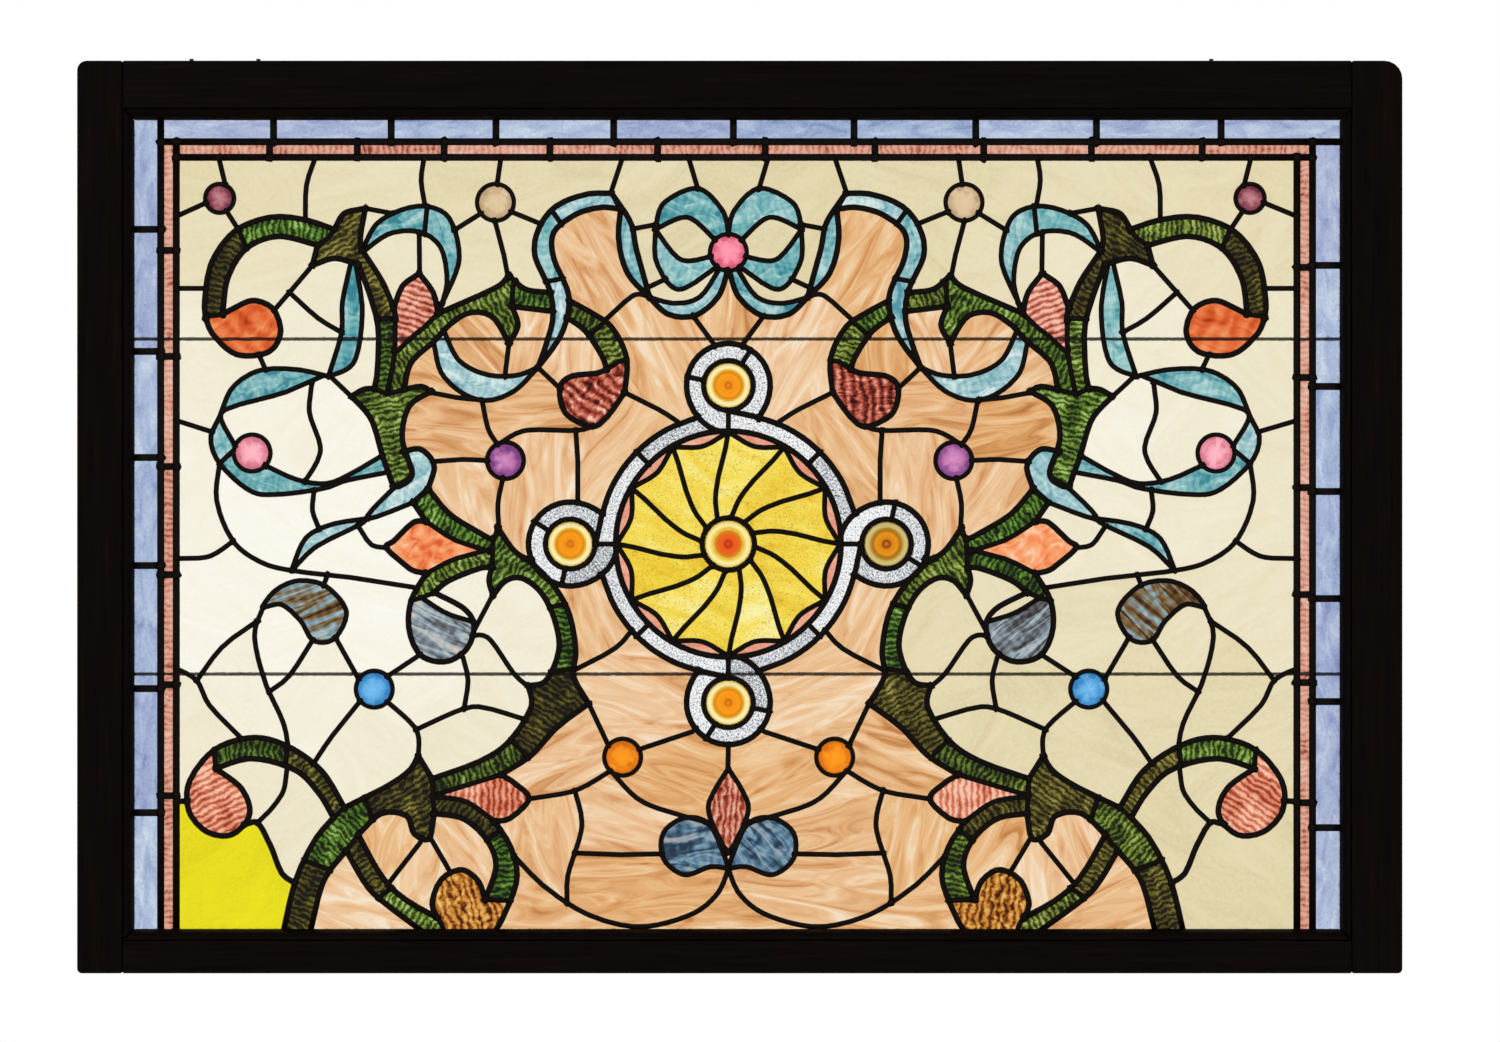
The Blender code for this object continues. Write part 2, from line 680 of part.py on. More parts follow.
def rondel_profile(radius):
    """A pressed rondel: a pip, a raised disc and a sloping rim."""
    rim = GLASS_DEPTH / 2
    return [
        (0.0, rim + RONDEL_DOME), (radius * 0.16, rim + RONDEL_DOME * 0.7), (radius * 0.58, rim + RONDEL_DOME * 0.6),
        (radius * 0.68, rim + RONDEL_DOME * 0.2), (radius, rim), (radius, -rim), (0.0, -rim),
    ]


def make_jewels(collection):
    """Turned jewels and rondels, each seated in its ring."""
    meshes = {}
    turn_to_front = math.radians(90)
    for name, place, radius in jewel_places():
        rondel = name.startswith("rondel")
        if (rondel, radius) not in meshes:
            profile = rondel_profile(radius) if rondel else jewel_profile(radius)
            mesh = bpy.data.meshes.new("turned_profile")
            mesh.from_pydata([(x, 0.0, z) for x, z in profile], [(i, i + 1) for i in range(len(profile) - 1)], [])
            meshes[rondel, radius] = mesh
        material = make_material("glass_" + name, colour_for(name, JEWEL_COLOURS), 0.08)
        item = add_object(name, meshes[rondel, radius].copy(), material, collection)
        x, z = to_real(place)
        item.location = (x, CAME_MIDDLE, z)
        item.rotation_euler = (turn_to_front, 0.0, 0.0)
        screw = item.modifiers.new("turning", "SCREW")
        screw.axis = "Z"
        screw.steps = TURNING_STEPS
        screw.render_steps = TURNING_STEPS
        screw.use_merge_vertices = True
        screw.merge_threshold = 0.00005


def arc(centre, radius, start_deg, steps=5):
    return [
        (centre[0] + radius * math.cos(math.radians(start_deg + 90 * i / steps)),
         centre[1] + radius * math.sin(math.radians(start_deg + 90 * i / steps)))
        for i in range(steps + 1)
    ]


def extruded_outline(name, outline, front, back):
    work = bmesh.new()
    face = work.faces.new([work.verts.new((x, front, z)) for x, z in outline])
    made = bmesh.ops.extrude_face_region(work, geom=[face])
    moved = [item for item in made["geom"] if isinstance(item, bmesh.types.BMVert)]
    bmesh.ops.translate(work, verts=moved, vec=(0.0, back - front, 0.0))
    bmesh.ops.recalc_face_normals(work, faces=work.faces)
    return mesh_from(work, name)


def stile_outline(outer, face_width, top_radius, sign):
    """A stile seen from the front, with its lip between the rails; sign is -1 on the left."""
    inner = outer - sign * face_width
    lip = inner - sign * LIP_WIDTH
    low, high = REBATE_BOTTOM + LIP_WIDTH + GAP, REBATE_TOP - LIP_WIDTH - GAP
    corner_low = (outer - sign * CORNER_BOTTOM, BOTTOM + CORNER_BOTTOM)
    corner_high = (outer - sign * top_radius, TOP - top_radius)
    right_side = arc(corner_low, CORNER_BOTTOM, -90) + arc(corner_high, top_radius, 0)
    if sign < 0:
        turned = [(2 * corner_low[0] - x, z) for x, z in arc(corner_low, CORNER_BOTTOM, -90)]
        turned += [(2 * corner_high[0] - x, z) for x, z in arc(corner_high, top_radius, 0)]
        right_side = turned
    return right_side + [(inner, TOP), (inner, high), (lip, high), (lip, low), (inner, low), (inner, BOTTOM)]


def make_box(name, low, high):
    work = bmesh.new()
    bmesh.ops.create_cube(work, size=1.0)
    size = [high[i] - low[i] for i in range(3)]
    bmesh.ops.scale(work, verts=work.verts, vec=size)
    bmesh.ops.translate(work, verts=work.verts, vec=[(high[i] + low[i]) / 2 for i in range(3)])
    return mesh_from(work, name)


def make_sash(collection, cutters):
    """Two stiles at full height, two rails between them, and one rebate cut from the front."""
    wood = make_material("stained_wood", WOOD_COLOUR, 0.45)
    rebate = make_box(
        "rebate_cutter",
        (REBATE_LEFT, FRONT - LIP_DEPTH, REBATE_BOTTOM),
        (REBATE_RIGHT, LIP_FRONT, REBATE_TOP),
    )
    cutter = bpy.data.objects.new("rebate_cutter", rebate)
    cutter.hide_render = True
    cutter.display_type = "WIRE"
    cutters.objects.link(cutter)
    rail_left, rail_right = REBATE_LEFT + GAP, REBATE_RIGHT - GAP
    members = {
        "stile_left": extruded_outline(
            "stile_left", stile_outline(LEFT, STILE_LEFT_FACE, CORNER_TOP_LEFT, -1), FRONT, BACK),
        "stile_right": extruded_outline(
            "stile_right", stile_outline(RIGHT, STILE_RIGHT_FACE, CORNER_TOP_RIGHT, 1), FRONT, BACK),
        "rail_top": make_box(
            "rail_top", (rail_left, FRONT, REBATE_TOP - LIP_WIDTH), (rail_right, BACK, TOP)),
        "rail_bottom": make_box(
            "rail_bottom", (rail_left, FRONT, BOTTOM), (rail_right, BACK, REBATE_BOTTOM + LIP_WIDTH)),
    }
    for name, mesh in members.items():
        item = add_object(name, mesh, wood, collection)
        cut = item.modifiers.new("rebate", "BOOLEAN")
        cut.operation = "DIFFERENCE"
        cut.solver = "EXACT"
        cut.object = cutter


def make_beads(collection):
    """Four glazing beads, moulded on their inner edge and mitred where they meet."""
    wood = make_material("bead_wood", WOOD_COLOUR, 0.45)
    outer = GAP
    profile = [
        (outer, BEAD_BACK), (outer, BEAD_BACK - BEAD_DEPTH), (BEAD_WIDTH * 0.35, BEAD_BACK - BEAD_DEPTH),
        (BEAD_WIDTH * 0.75, BEAD_BACK - BEAD_DEPTH * 0.7), (BEAD_WIDTH, BEAD_BACK - BEAD_THIN_EDGE),
        (BEAD_WIDTH, BEAD_BACK),
    ]
    centre_x, centre_z = (REBATE_LEFT + REBATE_RIGHT) / 2, (REBATE_TOP + REBATE_BOTTOM) / 2
    half_x, half_z = (REBATE_RIGHT - REBATE_LEFT) / 2, (REBATE_TOP - REBATE_BOTTOM) / 2
    sides = {
        "bead_bottom": (half_x, half_z, 0),
        "bead_right": (half_z, half_x, 90),
        "bead_top": (half_x, half_z, 180),
        "bead_left": (half_z, half_x, 270),
    }
    for name, (half_length, half_gap, turn) in sides.items():
        work = bmesh.new()
        start = [work.verts.new((-half_length + inset + GAP, y, -half_gap + inset)) for inset, y in profile]
        face = work.faces.new(start)
        made = bmesh.ops.extrude_face_region(work, geom=[face])
        for item in made["geom"]:
            if isinstance(item, bmesh.types.BMVert):
                item.co.x = -item.co.x
        bmesh.ops.recalc_face_normals(work, faces=work.faces)
        angle = math.radians(turn)
        for vert in work.verts:
            x, z = vert.co.x, vert.co.z
            vert.co.x = centre_x + x * math.cos(angle) - z * math.sin(angle)
            vert.co.z = centre_z + x * math.sin(angle) + z * math.cos(angle)
        add_object(name, mesh_from(work, name), wood, collection)


def make_bars(collection):
    """Two thin iron bars behind the leading, from lip to lip."""
    iron = make_material("bar_iron", IRON_COLOUR, 0.6, 0.7)
    left, right = REBATE_LEFT + LIP_WIDTH + GAP, REBATE_RIGHT - LIP_WIDTH - GAP
    for name, level_px in (("saddle_bar_upper", 338.5), ("saddle_bar_lower", 673.5)):
        work = bmesh.new()
        bmesh.ops.create_cone(
            work, cap_ends=True, segments=10, radius1=BAR_DIAMETER / 2, radius2=BAR_DIAMETER / 2, depth=right - left
        )
        item = add_object(name, mesh_from(work, name), iron, collection)
        item.rotation_euler = (0.0, math.radians(90), 0.0)
        item.location = (
            (left + right) / 2,
            CAME_BACK + GAP + BAR_DIAMETER / 2,
            to_real((AXIS_PX, level_px))[1],
        )


def main():
    for item in list(bpy.data.objects):
        bpy.data.objects.remove(item, do_unlink=True)
    part = bpy.data.collections.new("leaded_window_panel")
    cutters = bpy.data.collections.new("cutters")
    bpy.context.scene.collection.children.link(part)
    bpy.context.scene.collection.children.link(cutters)
    make_sash(part, cutters)
    make_beads(part)
    make_leads(part)
    make_glass(part)
    make_jewels(part)
    make_bars(part)


main()
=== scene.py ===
"""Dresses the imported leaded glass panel: sash, cames, solder, panes, jewels, bars and studio."""
import math
import random

import bmesh
import bpy
from bpy.props import FloatProperty, FloatVectorProperty, PointerProperty
from bpy.types import Operator, Panel, PropertyGroup
from mathutils import Matrix, Vector
from mathutils.geometry import delaunay_2d_cdt


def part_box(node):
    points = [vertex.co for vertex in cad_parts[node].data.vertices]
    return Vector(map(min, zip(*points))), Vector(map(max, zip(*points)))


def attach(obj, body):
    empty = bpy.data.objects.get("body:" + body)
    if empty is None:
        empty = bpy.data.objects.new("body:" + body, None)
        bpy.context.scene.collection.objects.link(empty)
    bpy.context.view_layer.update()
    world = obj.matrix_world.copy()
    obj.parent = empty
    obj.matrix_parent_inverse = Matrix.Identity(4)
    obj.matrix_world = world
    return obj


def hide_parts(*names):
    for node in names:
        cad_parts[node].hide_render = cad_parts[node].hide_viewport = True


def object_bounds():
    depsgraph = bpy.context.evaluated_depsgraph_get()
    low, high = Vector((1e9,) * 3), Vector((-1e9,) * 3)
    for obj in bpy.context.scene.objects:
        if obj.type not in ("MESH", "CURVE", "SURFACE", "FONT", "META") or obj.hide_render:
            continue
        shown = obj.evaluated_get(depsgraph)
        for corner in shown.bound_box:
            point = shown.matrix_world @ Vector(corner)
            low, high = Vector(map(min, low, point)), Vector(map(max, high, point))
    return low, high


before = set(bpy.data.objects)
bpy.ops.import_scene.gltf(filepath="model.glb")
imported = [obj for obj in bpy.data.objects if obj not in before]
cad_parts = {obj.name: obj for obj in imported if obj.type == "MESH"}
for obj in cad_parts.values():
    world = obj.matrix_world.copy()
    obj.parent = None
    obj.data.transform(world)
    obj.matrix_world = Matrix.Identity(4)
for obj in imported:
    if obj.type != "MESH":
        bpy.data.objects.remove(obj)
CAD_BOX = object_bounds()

bl_info = {
    "name": "Leaded glass panel",
    "version": (1, 0, 0),
    "blender": (4, 5, 0),
    "location": "View3D > Sidebar > Glazing",
    "description": "Builds a stained glass panel in its sash, with cames, panes, jewels and a studio",
    "category": "Add Mesh",
}

# Places that the frame gives, in metres
SIGHT_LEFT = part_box("bead_left")[1].x
SIGHT_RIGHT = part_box("bead_right")[0].x
SIGHT_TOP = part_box("bead_top")[0].z
SIGHT_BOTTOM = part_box("bead_bottom")[1].z
NET_LOW, NET_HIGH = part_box("lead_matrix")
PANEL_MIDDLE = (NET_LOW.y + NET_HIGH.y) / 2
SASH_LOW, SASH_HIGH = CAD_BOX

# Border strips, from the sight edge to the middle of the came inside each
BLUE_STRIP_LEFT = 0.0217
BLUE_STRIP_TOP = 0.0179
BLUE_STRIP_RIGHT = 0.0225
PINK_STRIP = 0.013
STRIP_LEFT = SIGHT_LEFT + BLUE_STRIP_LEFT
STRIP_RIGHT = SIGHT_RIGHT - BLUE_STRIP_RIGHT
STRIP_TOP = SIGHT_TOP - BLUE_STRIP_TOP
FIELD_LEFT = STRIP_LEFT + PINK_STRIP
FIELD_RIGHT = STRIP_RIGHT - PINK_STRIP
FIELD_TOP = STRIP_TOP - PINK_STRIP
FIELD_BOTTOM = SIGHT_BOTTOM
EDGE_INSET = 0.003

# Cartoon frame, in picture units: the field inside the border, the axis that the design mirrors
# about, and how much wider the right half is drawn than the left
FIELD_LEFT_PX = 174.5
FIELD_RIGHT_PX = 1298
FIELD_TOP_PX = 157
FIELD_BOTTOM_PX = 928
AXIS_PX = 728
MIRROR_STRETCH = 0.00005
PICTURE_WIDTH_PX = 1500
PICTURE_CENTRE_PX = (750, 521)
SASH_LEFT_PX, SASH_RIGHT_PX = 77, 1402.5
SASH_TOP_PX, SASH_BOTTOM_PX = 60.5, 973.5
CAMERA_DISTANCE = 9.0

# Studio: half the floor's side, how far it lies below the sash, the lamp, and the camera's sensor
FLOOR_REACH = 3.5
FLOOR_DROP = 0.9
LAMP_POWER = 3.0
LAMP_SIZE = 1.2
LAMP_PLACE = (-0.9, -1.8, 0.9)
LAMP_TURN_DEG = (60, 0, -27)
SENSOR_WIDTH = 36

# The flat cartoon is cut in millimetres, in which corners this close are one
MILLIMETRES = 1000
MERGE_MILLIMETRES = 0.005
# Corners of a mesh this close are one, and an edge that turns more than this is sharp
MERGE_GAP = 0.00002
SHARP_DEG = 35
# How far a pane's edge is tucked under the came's flange
TUCK = 0.0004
# How far a lead's end may be from the next lead, and the gap that counts as closed
JOINT_REACH = 0.0092
CLOSED_JOINT = 0.0004
# A lead's end that would have to turn more than this is moved instead of run on
STEEPEST_TURN_DEG = 50
# The cosine at which a mitre stops widening, so that a sharp bend makes no spike
SHARPEST_MITRE = 0.6
# How far an open end runs on past its last point, as a share of the came's half width
END_REACH = 0.6
# Solder: least distance between two joints, half its depth, and how far it sinks into the lead
SOLDER_APART = 0.004
SOLDER_DEPTH = 0.0009
SOLDER_SUNK = 0.0003
# How far the tone of a pane may lie from its sheet's, by its batch, and in the cream field mostly by painted
# light; and the batch of the milkiest panes
BATCH_SHIFT = 0.15
MILKIEST = (1.0, 0.62)
# Spacing of a band wave's crests at a scale of one, which ripples are scaled from
WAVE_SPACING = 0.314
# Spacing of the dark seeds in antique glass
SEED_SPACING = 0.003
# How far a facet's painted shade may move its colour from its jewel's, as a share of the radius
FACET_SHADE_SPREAD = 0.3
JEWEL_FACETS = 12
# Stubs of old nails that stand on the sash's top edge
NAIL_PLACES_PX = (190, 257, 1212)
NAIL_RADIUS = 0.0022
NAIL_STANDS = 0.0022
# A gap between cames smaller than this, in square metres, holds no glass
SMALLEST_PANE = 0.000002
# A gap is a jewel's when its middle lies this close to the jewel's and it is no larger than this
# share of the radius squared
JEWEL_OFF_CENTRE = 0.004
JEWEL_GAP = 3.6
# How far a line may lie off its curve
CURVE_TOLERANCE = 0.00018
# Jewels and rondels, in metres
SMALL_JEWEL_RADIUS = 0.0102
JEWEL_RADIUS = 0.0135
RONDEL_RADIUS = 0.0193
CENTRE_RONDEL_RADIUS = 0.0204
RONDEL_STEPS = 48
# Half the thickness of a jewel's or rondel's rim
RIM = 0.0015

# The outlines of the left half, which are leaded on both faces, in picture units
THROUGH_LINES = {
    "scroll_1_back": [(204, 318), (203, 300), (210, 262), (233, 231), (268, 217), (302, 219), (333, 229)],
    "bud_1": [
        (204, 318), (212, 335), (235, 354), (266, 352), (279, 333), (272, 309), (252, 300), (232, 308),
        (221, 314),
    ],
    "scroll_1_inside": [(221, 314), (226, 278), (245, 248), (277, 236), (316, 245)],
    "calyx_1_top": [(333, 229), (343, 213), (364, 208)],
    "calyx_1_right": [(364, 208), (359, 237), (361, 250)],
    "calyx_1_wing": [(316, 245), (311, 265)],
    "calyx_1_foot": [(311, 265), (333, 258), (357, 264)],
    "stem_a_left": [(357, 264), (369, 296), (377, 329), (376, 371), (373, 388)],
    "stem_a_right": [(361, 250), (381, 281), (393, 310), (394, 320)],
    "bud_2_left": [(418, 273), (401, 286), (393, 308)],
    "bud_2_right": [(418, 273), (432, 292), (437, 313)],
    "stem_b_under": [(403, 389), (410, 362), (433, 341), (450, 323), (470, 312), (492, 317), (508, 343)],
    "calyx_3_top": [(437, 313), (465, 301), (497, 286), (508, 275)],
    "calyx_3_right": [(508, 275), (525, 289), (550, 292)],
    "calyx_3_lobe": [(511, 306), (517, 325), (508, 343)],
    "scroll_3_under": [(511, 306), (552, 311)],
    "ribbon_4_back": [
        (611, 193), (585, 194), (555, 206), (538, 228), (534, 255), (549, 290), (552, 318), (545, 345),
        (537, 367),
    ],
    "ribbon_4_inside": [
        (620, 209), (600, 207), (575, 214), (553, 232), (553, 258), (568, 296), (561, 333), (537, 367),
    ],
    "ribbon_4_limb_out": [(611, 193), (630, 222), (636, 250), (649, 297)],
    "ribbon_4_limb_in": [(620, 209), (618, 240), (627, 273), (649, 297)],
    "scroll_3_back": [(567, 300), (592, 313), (612, 328), (626, 358), (624, 392)],
    "bud_3": [
        (624, 392), (605, 418), (590, 426), (565, 413), (559, 388), (570, 376), (595, 373), (606, 369),
    ],
    "scroll_3_inside": [(566, 317), (585, 331), (601, 355), (606, 369)],
    "calyx_2_wing_left": [(350, 396), (362, 389), (373, 388)],
    "calyx_2_wing_right": [(403, 389), (420, 386), (430, 391)],
    "calyx_2_left": [(350, 396), (370, 419), (381, 455), (392, 486)],
    "calyx_2_right": [(430, 391), (408, 406), (401, 438), (411, 473), (400, 485), (392, 486)],
    "ribbon_7_back": [(402, 451), (420, 449), (433, 465), (427, 488)],
    "ribbon_7_foot": [(427, 488), (412, 502)],
    "stem_c_back": [(427, 488), (448, 513), (478, 532), (492, 538), (497, 527)],
    "stem_c_front": [(412, 502), (425, 521)],
    "bud_4": [(425, 521), (412, 522), (393, 540), (385, 547), (402, 563), (412, 570), (425, 573)],
    "bud_5": [
        (425, 573), (410, 600), (408, 630), (420, 655), (445, 661), (466, 648), (473, 625), (463, 608),
        (433, 592),
    ],
    "scroll_4_inside": [(433, 592), (448, 580), (478, 568), (491, 567)],
    "calyx_4_wing": [(491, 567), (488, 580), (492, 595)],
    "stem_d_back": [
        (497, 527), (513, 550), (534, 565), (555, 588), (569, 615), (575, 650), (573, 676), (588, 703),
    ],
    "stem_d_front": [
        (492, 595), (505, 580), (522, 578), (541, 593), (554, 620), (558, 650), (545, 680), (527, 685),
    ],
    "stem_e_back": [(527, 685), (530, 707), (508, 741), (478, 761), (431, 778)],
    "stem_e_front": [(588, 703), (556, 727), (530, 755), (500, 774)],
    "bud_8": [(500, 774), (513, 782), (528, 798), (510, 817), (494, 821)],
    "scroll_7_back": [(494, 821), (510, 847), (516, 878), (503, 915), (491, 930)],
    "scroll_7_inside": [(484, 899), (495, 865), (485, 838), (462, 818), (433, 813)],
    "bud_10": [(484, 899), (477, 880), (460, 869), (440, 879), (431, 902), (436, 917)],
    "calyx_6_right": [(417, 755), (431, 778)],
    "calyx_6_lobe": [(433, 813), (428, 838), (413, 833), (405, 815), (380, 813), (357, 834)],
    "calyx_6_back": [(417, 755), (408, 770), (385, 786), (343, 807)],
    "scroll_5_back": [
        (343, 807), (320, 770), (285, 745), (250, 737), (213, 749), (188, 780), (187, 810), (205, 831),
        (230, 834), (248, 814), (240, 788), (214, 768),
    ],
    "scroll_5_inside": [(332, 817), (317, 792), (293, 769), (250, 758), (214, 768)],
    "stem_f_back": [(332, 817), (313, 840), (294, 880), (281, 931)],
    "stem_f_front": [(345, 850), (322, 881), (308, 931)],
    "scroll_6_front": [(345, 850), (367, 887), (392, 909), (427, 931)],
    "scroll_6_back": [(357, 834), (380, 875), (403, 898), (436, 917)],
    "corner_lead": [(244, 825), (256, 822), (269, 845), (280, 872), (293, 882)],
    "corner_stub": [(174, 801), (186, 800)],
    "bow_band_under": [(649, 297), (668, 314), (695, 315), (718, 296), (727, 270)],
    "ring_touch": [(535, 558), (522, 560)],
}

# The lines of the left half that lie on the face of a pane
FACE_LINES = {
    "scroll_4_neck": [(410, 600), (421, 597), (433, 592)],
    "scroll_3_joint": [(590, 334), (602, 323)],
    "lead_scroll_5": [(285, 768), (282, 790), (270, 808), (256, 822)],
    "calyx_1_seam": [(333, 229.5), (326, 238), (316, 245)],
    "stem_a_seam": [(377, 318), (394, 318)],
    "bud_10_foot": [(435, 915), (441, 925), (443, 930)],
    "scroll_1_cross": [(237, 229), (245, 248)],
    "bud_1_neck": [(205, 316), (221, 314)],
    "calyx_1_tip": [(364, 208), (391, 213)],
    "bud_2_foot": [(437, 318), (415, 333), (397, 350)],
    "stem_a_fork": [(394, 320), (393, 355), (386, 392)],
    "calyx_2_neck": [(373, 388), (386, 393), (403, 389)],
    "ribbon_2_back": [
        (361, 250), (376, 223), (405, 208), (431, 207), (450, 221), (458, 260), (442, 301), (438, 313),
    ],
    "ribbon_2_inside": [(361, 252), (389, 233), (420, 232), (440, 248), (446, 280), (441, 303)],
    "ribbon_2_cross": [(426, 206), (424, 232)],
    "ribbon_1_left": [(349, 264), (341, 302), (340, 333), (327, 376)],
    "ribbon_1_right": [(354, 264), (361, 310), (353, 361), (327, 376)],
    "ribbon_3_back": [
        (327, 376), (295, 369), (258, 370), (231, 387), (218, 416), (209, 438), (218, 463), (248, 490),
        (275, 494), (322, 488), (345, 480), (386, 472),
    ],
    "ribbon_3_inside": [(322, 378), (280, 393), (235, 405), (219, 416), (231, 444)],
    "ribbon_3_end": [(266, 467), (295, 479), (325, 483), (350, 473), (381, 455)],
    "ribbon_3_cross": [(218, 463), (235, 450)],
    "ribbon_7_inside": [(402, 451), (411, 473), (390, 490), (366, 518), (412, 502)],
    "ribbon_8_back": [(366, 518), (330, 524), (304, 538), (290, 570)],
    "ribbon_8_front": [(366, 518), (357, 525), (315, 546), (290, 570)],
    "ribbon_4_cross_a": [(551, 210), (560, 223)],
    "ribbon_4_cross_b": [(546, 281), (562, 278)],
    "ribbon_4_cross_c": [(611, 193), (620, 209)],
    "crescent_inside": [(444, 333), (458, 360), (485, 374), (515, 375), (537, 367)],
    "crescent_outside": [(433, 342), (440, 372), (462, 393), (487, 400), (514, 390), (537, 367)],
    "calyx_3_cross": [(512, 284), (511, 306)],
    "scroll_3_cross": [(606, 369), (618, 361)],
    "stem_c_cross": [(425, 521), (455, 540), (488, 549)],
    "scroll_4_back": [(425, 573), (455, 558), (489, 551)],
    "calyx_4_neck": [(493, 539), (491, 567)],
    "scroll_4_end": [(420, 596), (442, 611), (470, 622)],
    "stem_d_cross": [(551, 606), (565, 603)],
    "calyx_5_neck": [(552, 672), (574, 668)],
    "stem_e_cross": [(510, 740), (522, 751)],
    "stem_e_inner": [(500, 774), (468, 784), (432, 795)],
    "scroll_7_top": [(432, 796), (465, 801), (494, 821)],
    "scroll_7_cross": [(488, 838), (500, 829)],
    "scroll_7_end": [(484, 899), (510, 900)],
    "calyx_6_neck": [(431, 778), (432, 813)],
    "calyx_6_cross": [(366, 803), (370, 818)],
    "scroll_5_foot": [(343, 807), (332, 817)],
    "scroll_5_cross": [(286, 746), (284, 765)],
    "bud_9_neck": [(213, 750), (214, 768)],
    "stem_f_cross": [(309, 862), (325, 868)],
    "scroll_6_foot": [(357, 834), (345, 850)],
    "scroll_6_cross": [(382, 893), (392, 886)],
    "bow_top": [(655, 229), (663, 203), (697, 188), (722, 210), (728, 236)],
    "bow_lens_top": [(655, 229), (687, 217), (714, 239)],
    "bow_lens_foot": [(655, 229), (680, 259), (711, 256)],
    "bow_foot": [(655, 229), (656, 262), (678, 289), (716, 267)],
    "bow_band_top": [(649, 297), (675, 303), (700, 296), (717, 272)],
    "comma": [
        (262, 606), (275, 589), (298, 580), (325, 586), (345, 611), (333, 638), (312, 640), (299, 620),
        (280, 604), (262, 606),
    ],
    "comma_stem": [(262, 606), (253, 635), (263, 680), (281, 720), (287, 745)],
    "comma_foot": [(311, 640), (288, 675), (268, 691)],
    "oval": [(218, 463), (215, 500), (231, 540), (258, 561), (290, 570), (350, 577), (414, 586)],
    "drop": [
        (728, 868), (710, 866), (684, 874), (663, 858), (663, 832), (685, 817), (710, 825), (728, 866),
    ],
    "lens": [(728, 768), (714, 790), (708, 810), (720, 840), (728, 852)],
    "foot_curve": [(513, 855), (545, 887), (590, 915), (640, 926), (690, 914), (717, 893), (728, 868)],
    "lead_01": [(217, 156), (224, 184)],
    "lead_02": [(206, 202), (174, 216)],
    "lead_03": [(224, 209), (236, 232)],
    "lead_04": [(174, 288), (204, 288)],
    "lead_05": [(314, 157), (305, 185), (304, 219)],
    "lead_06": [(423, 157), (420, 180), (424, 206)],
    "lead_07": [(500, 157), (496, 186)],
    "lead_08": [(480, 213), (455, 229)],
    "lead_09": [(508, 210), (541, 224)],
    "lead_10": [(494, 219), (503, 255), (508, 277)],
    "lead_11": [(622, 157), (610, 193)],
    "lead_12": [(688, 157), (697, 189)],
    "lead_13": [(634, 228), (655, 224)],
    "lead_14": [(648, 287), (663, 280)],
    "lead_15": [(311, 265), (288, 292), (274, 309)],
    "lead_16": [(288, 292), (317, 318), (341, 332)],
    "lead_17": [(257, 352), (264, 370)],
    "lead_18": [(418, 232), (418, 274)],
    "lead_19": [(174, 420), (209, 431)],
    "lead_20": [(311, 384), (308, 412), (319, 450), (303, 482)],
    "lead_21": [(329, 377), (352, 398)],
    "lead_22": [(313, 492), (311, 510), (318, 529)],
    "lead_23": [(174, 558), (207, 556), (231, 541)],
    "lead_24": [(357, 526), (370, 544), (386, 547)],
    "lead_25": [(428, 391), (455, 397), (480, 399)],
    "lead_26": [(481, 399), (487, 428), (495, 441)],
    "lead_27": [(432, 461), (460, 459), (489, 460)],
    "lead_28": [(502, 477), (497, 503), (498, 529)],
    "lead_29": [(500, 441), (525, 430), (575, 430), (592, 426)],
    "lead_30": [(575, 430), (577, 460), (577, 502)],
    "lead_31": [(537, 367), (560, 388)],
    "lead_32": [(604, 320), (633, 295), (649, 297)],
    "lead_33": [(624, 392), (658, 409), (677, 421)],
    "lead_34": [(508, 343), (504, 376)],
    "lead_35": [(693, 317), (713, 343)],
    "lead_36": [(326, 576), (322, 585)],
    "lead_37": [(255, 620), (220, 647), (195, 680)],
    "lead_38": [(174, 668), (195, 680), (208, 705), (240, 738)],
    "lead_39": [(335, 638), (358, 679)],
    "lead_40": [(388, 703), (415, 729), (417, 756)],
    "lead_41": [(357, 702), (331, 735), (312, 763)],
    "lead_42": [(418, 655), (388, 674)],
    "lead_43": [(415, 729), (463, 708), (488, 708), (526, 720)],
    "lead_44": [(462, 657), (467, 680), (463, 708)],
    "lead_45": [(470, 635), (488, 638), (513, 673), (528, 686)],
    "lead_46": [(472, 632), (492, 594)],
    "lead_47": [(588, 703), (608, 745)],
    "lead_48": [(574, 670), (614, 648), (630, 631)],
    "lead_49": [(609, 771), (574, 790), (527, 798)],
    "lead_50": [(611, 772), (640, 800), (685, 816), (708, 820)],
    "lead_51": [(638, 749), (692, 731)],
    "lead_52": [(574, 790), (581, 826), (567, 875), (567, 901)],
    "lead_53": [(576, 853), (620, 854), (662, 853)],
    "lead_54": [(430, 837), (449, 871)],
    "lead_55": [(419, 842), (386, 884)],
}
CENTRE_LINES = {"lead_56": [(728, 744), (728, 769)]}

# Cross leads of the two border strips, in picture units along each side
OUTER_CROSSES = {
    "left": (229, 351, 457, 565, 688, 812),
    "top": (272, 390, 495, 613, 733, 854, 976, 1097, 1222),
    "right": (265, 386, 491, 598, 701, 827),
}
INNER_CROSSES = {
    "left": (250, 356, 466, 574, 684, 795),
    "top": (268, 356, 443, 549, 657, 765, 875, 984, 1092, 1203),
    "right": (267, 377, 487, 594, 682, 802),
}

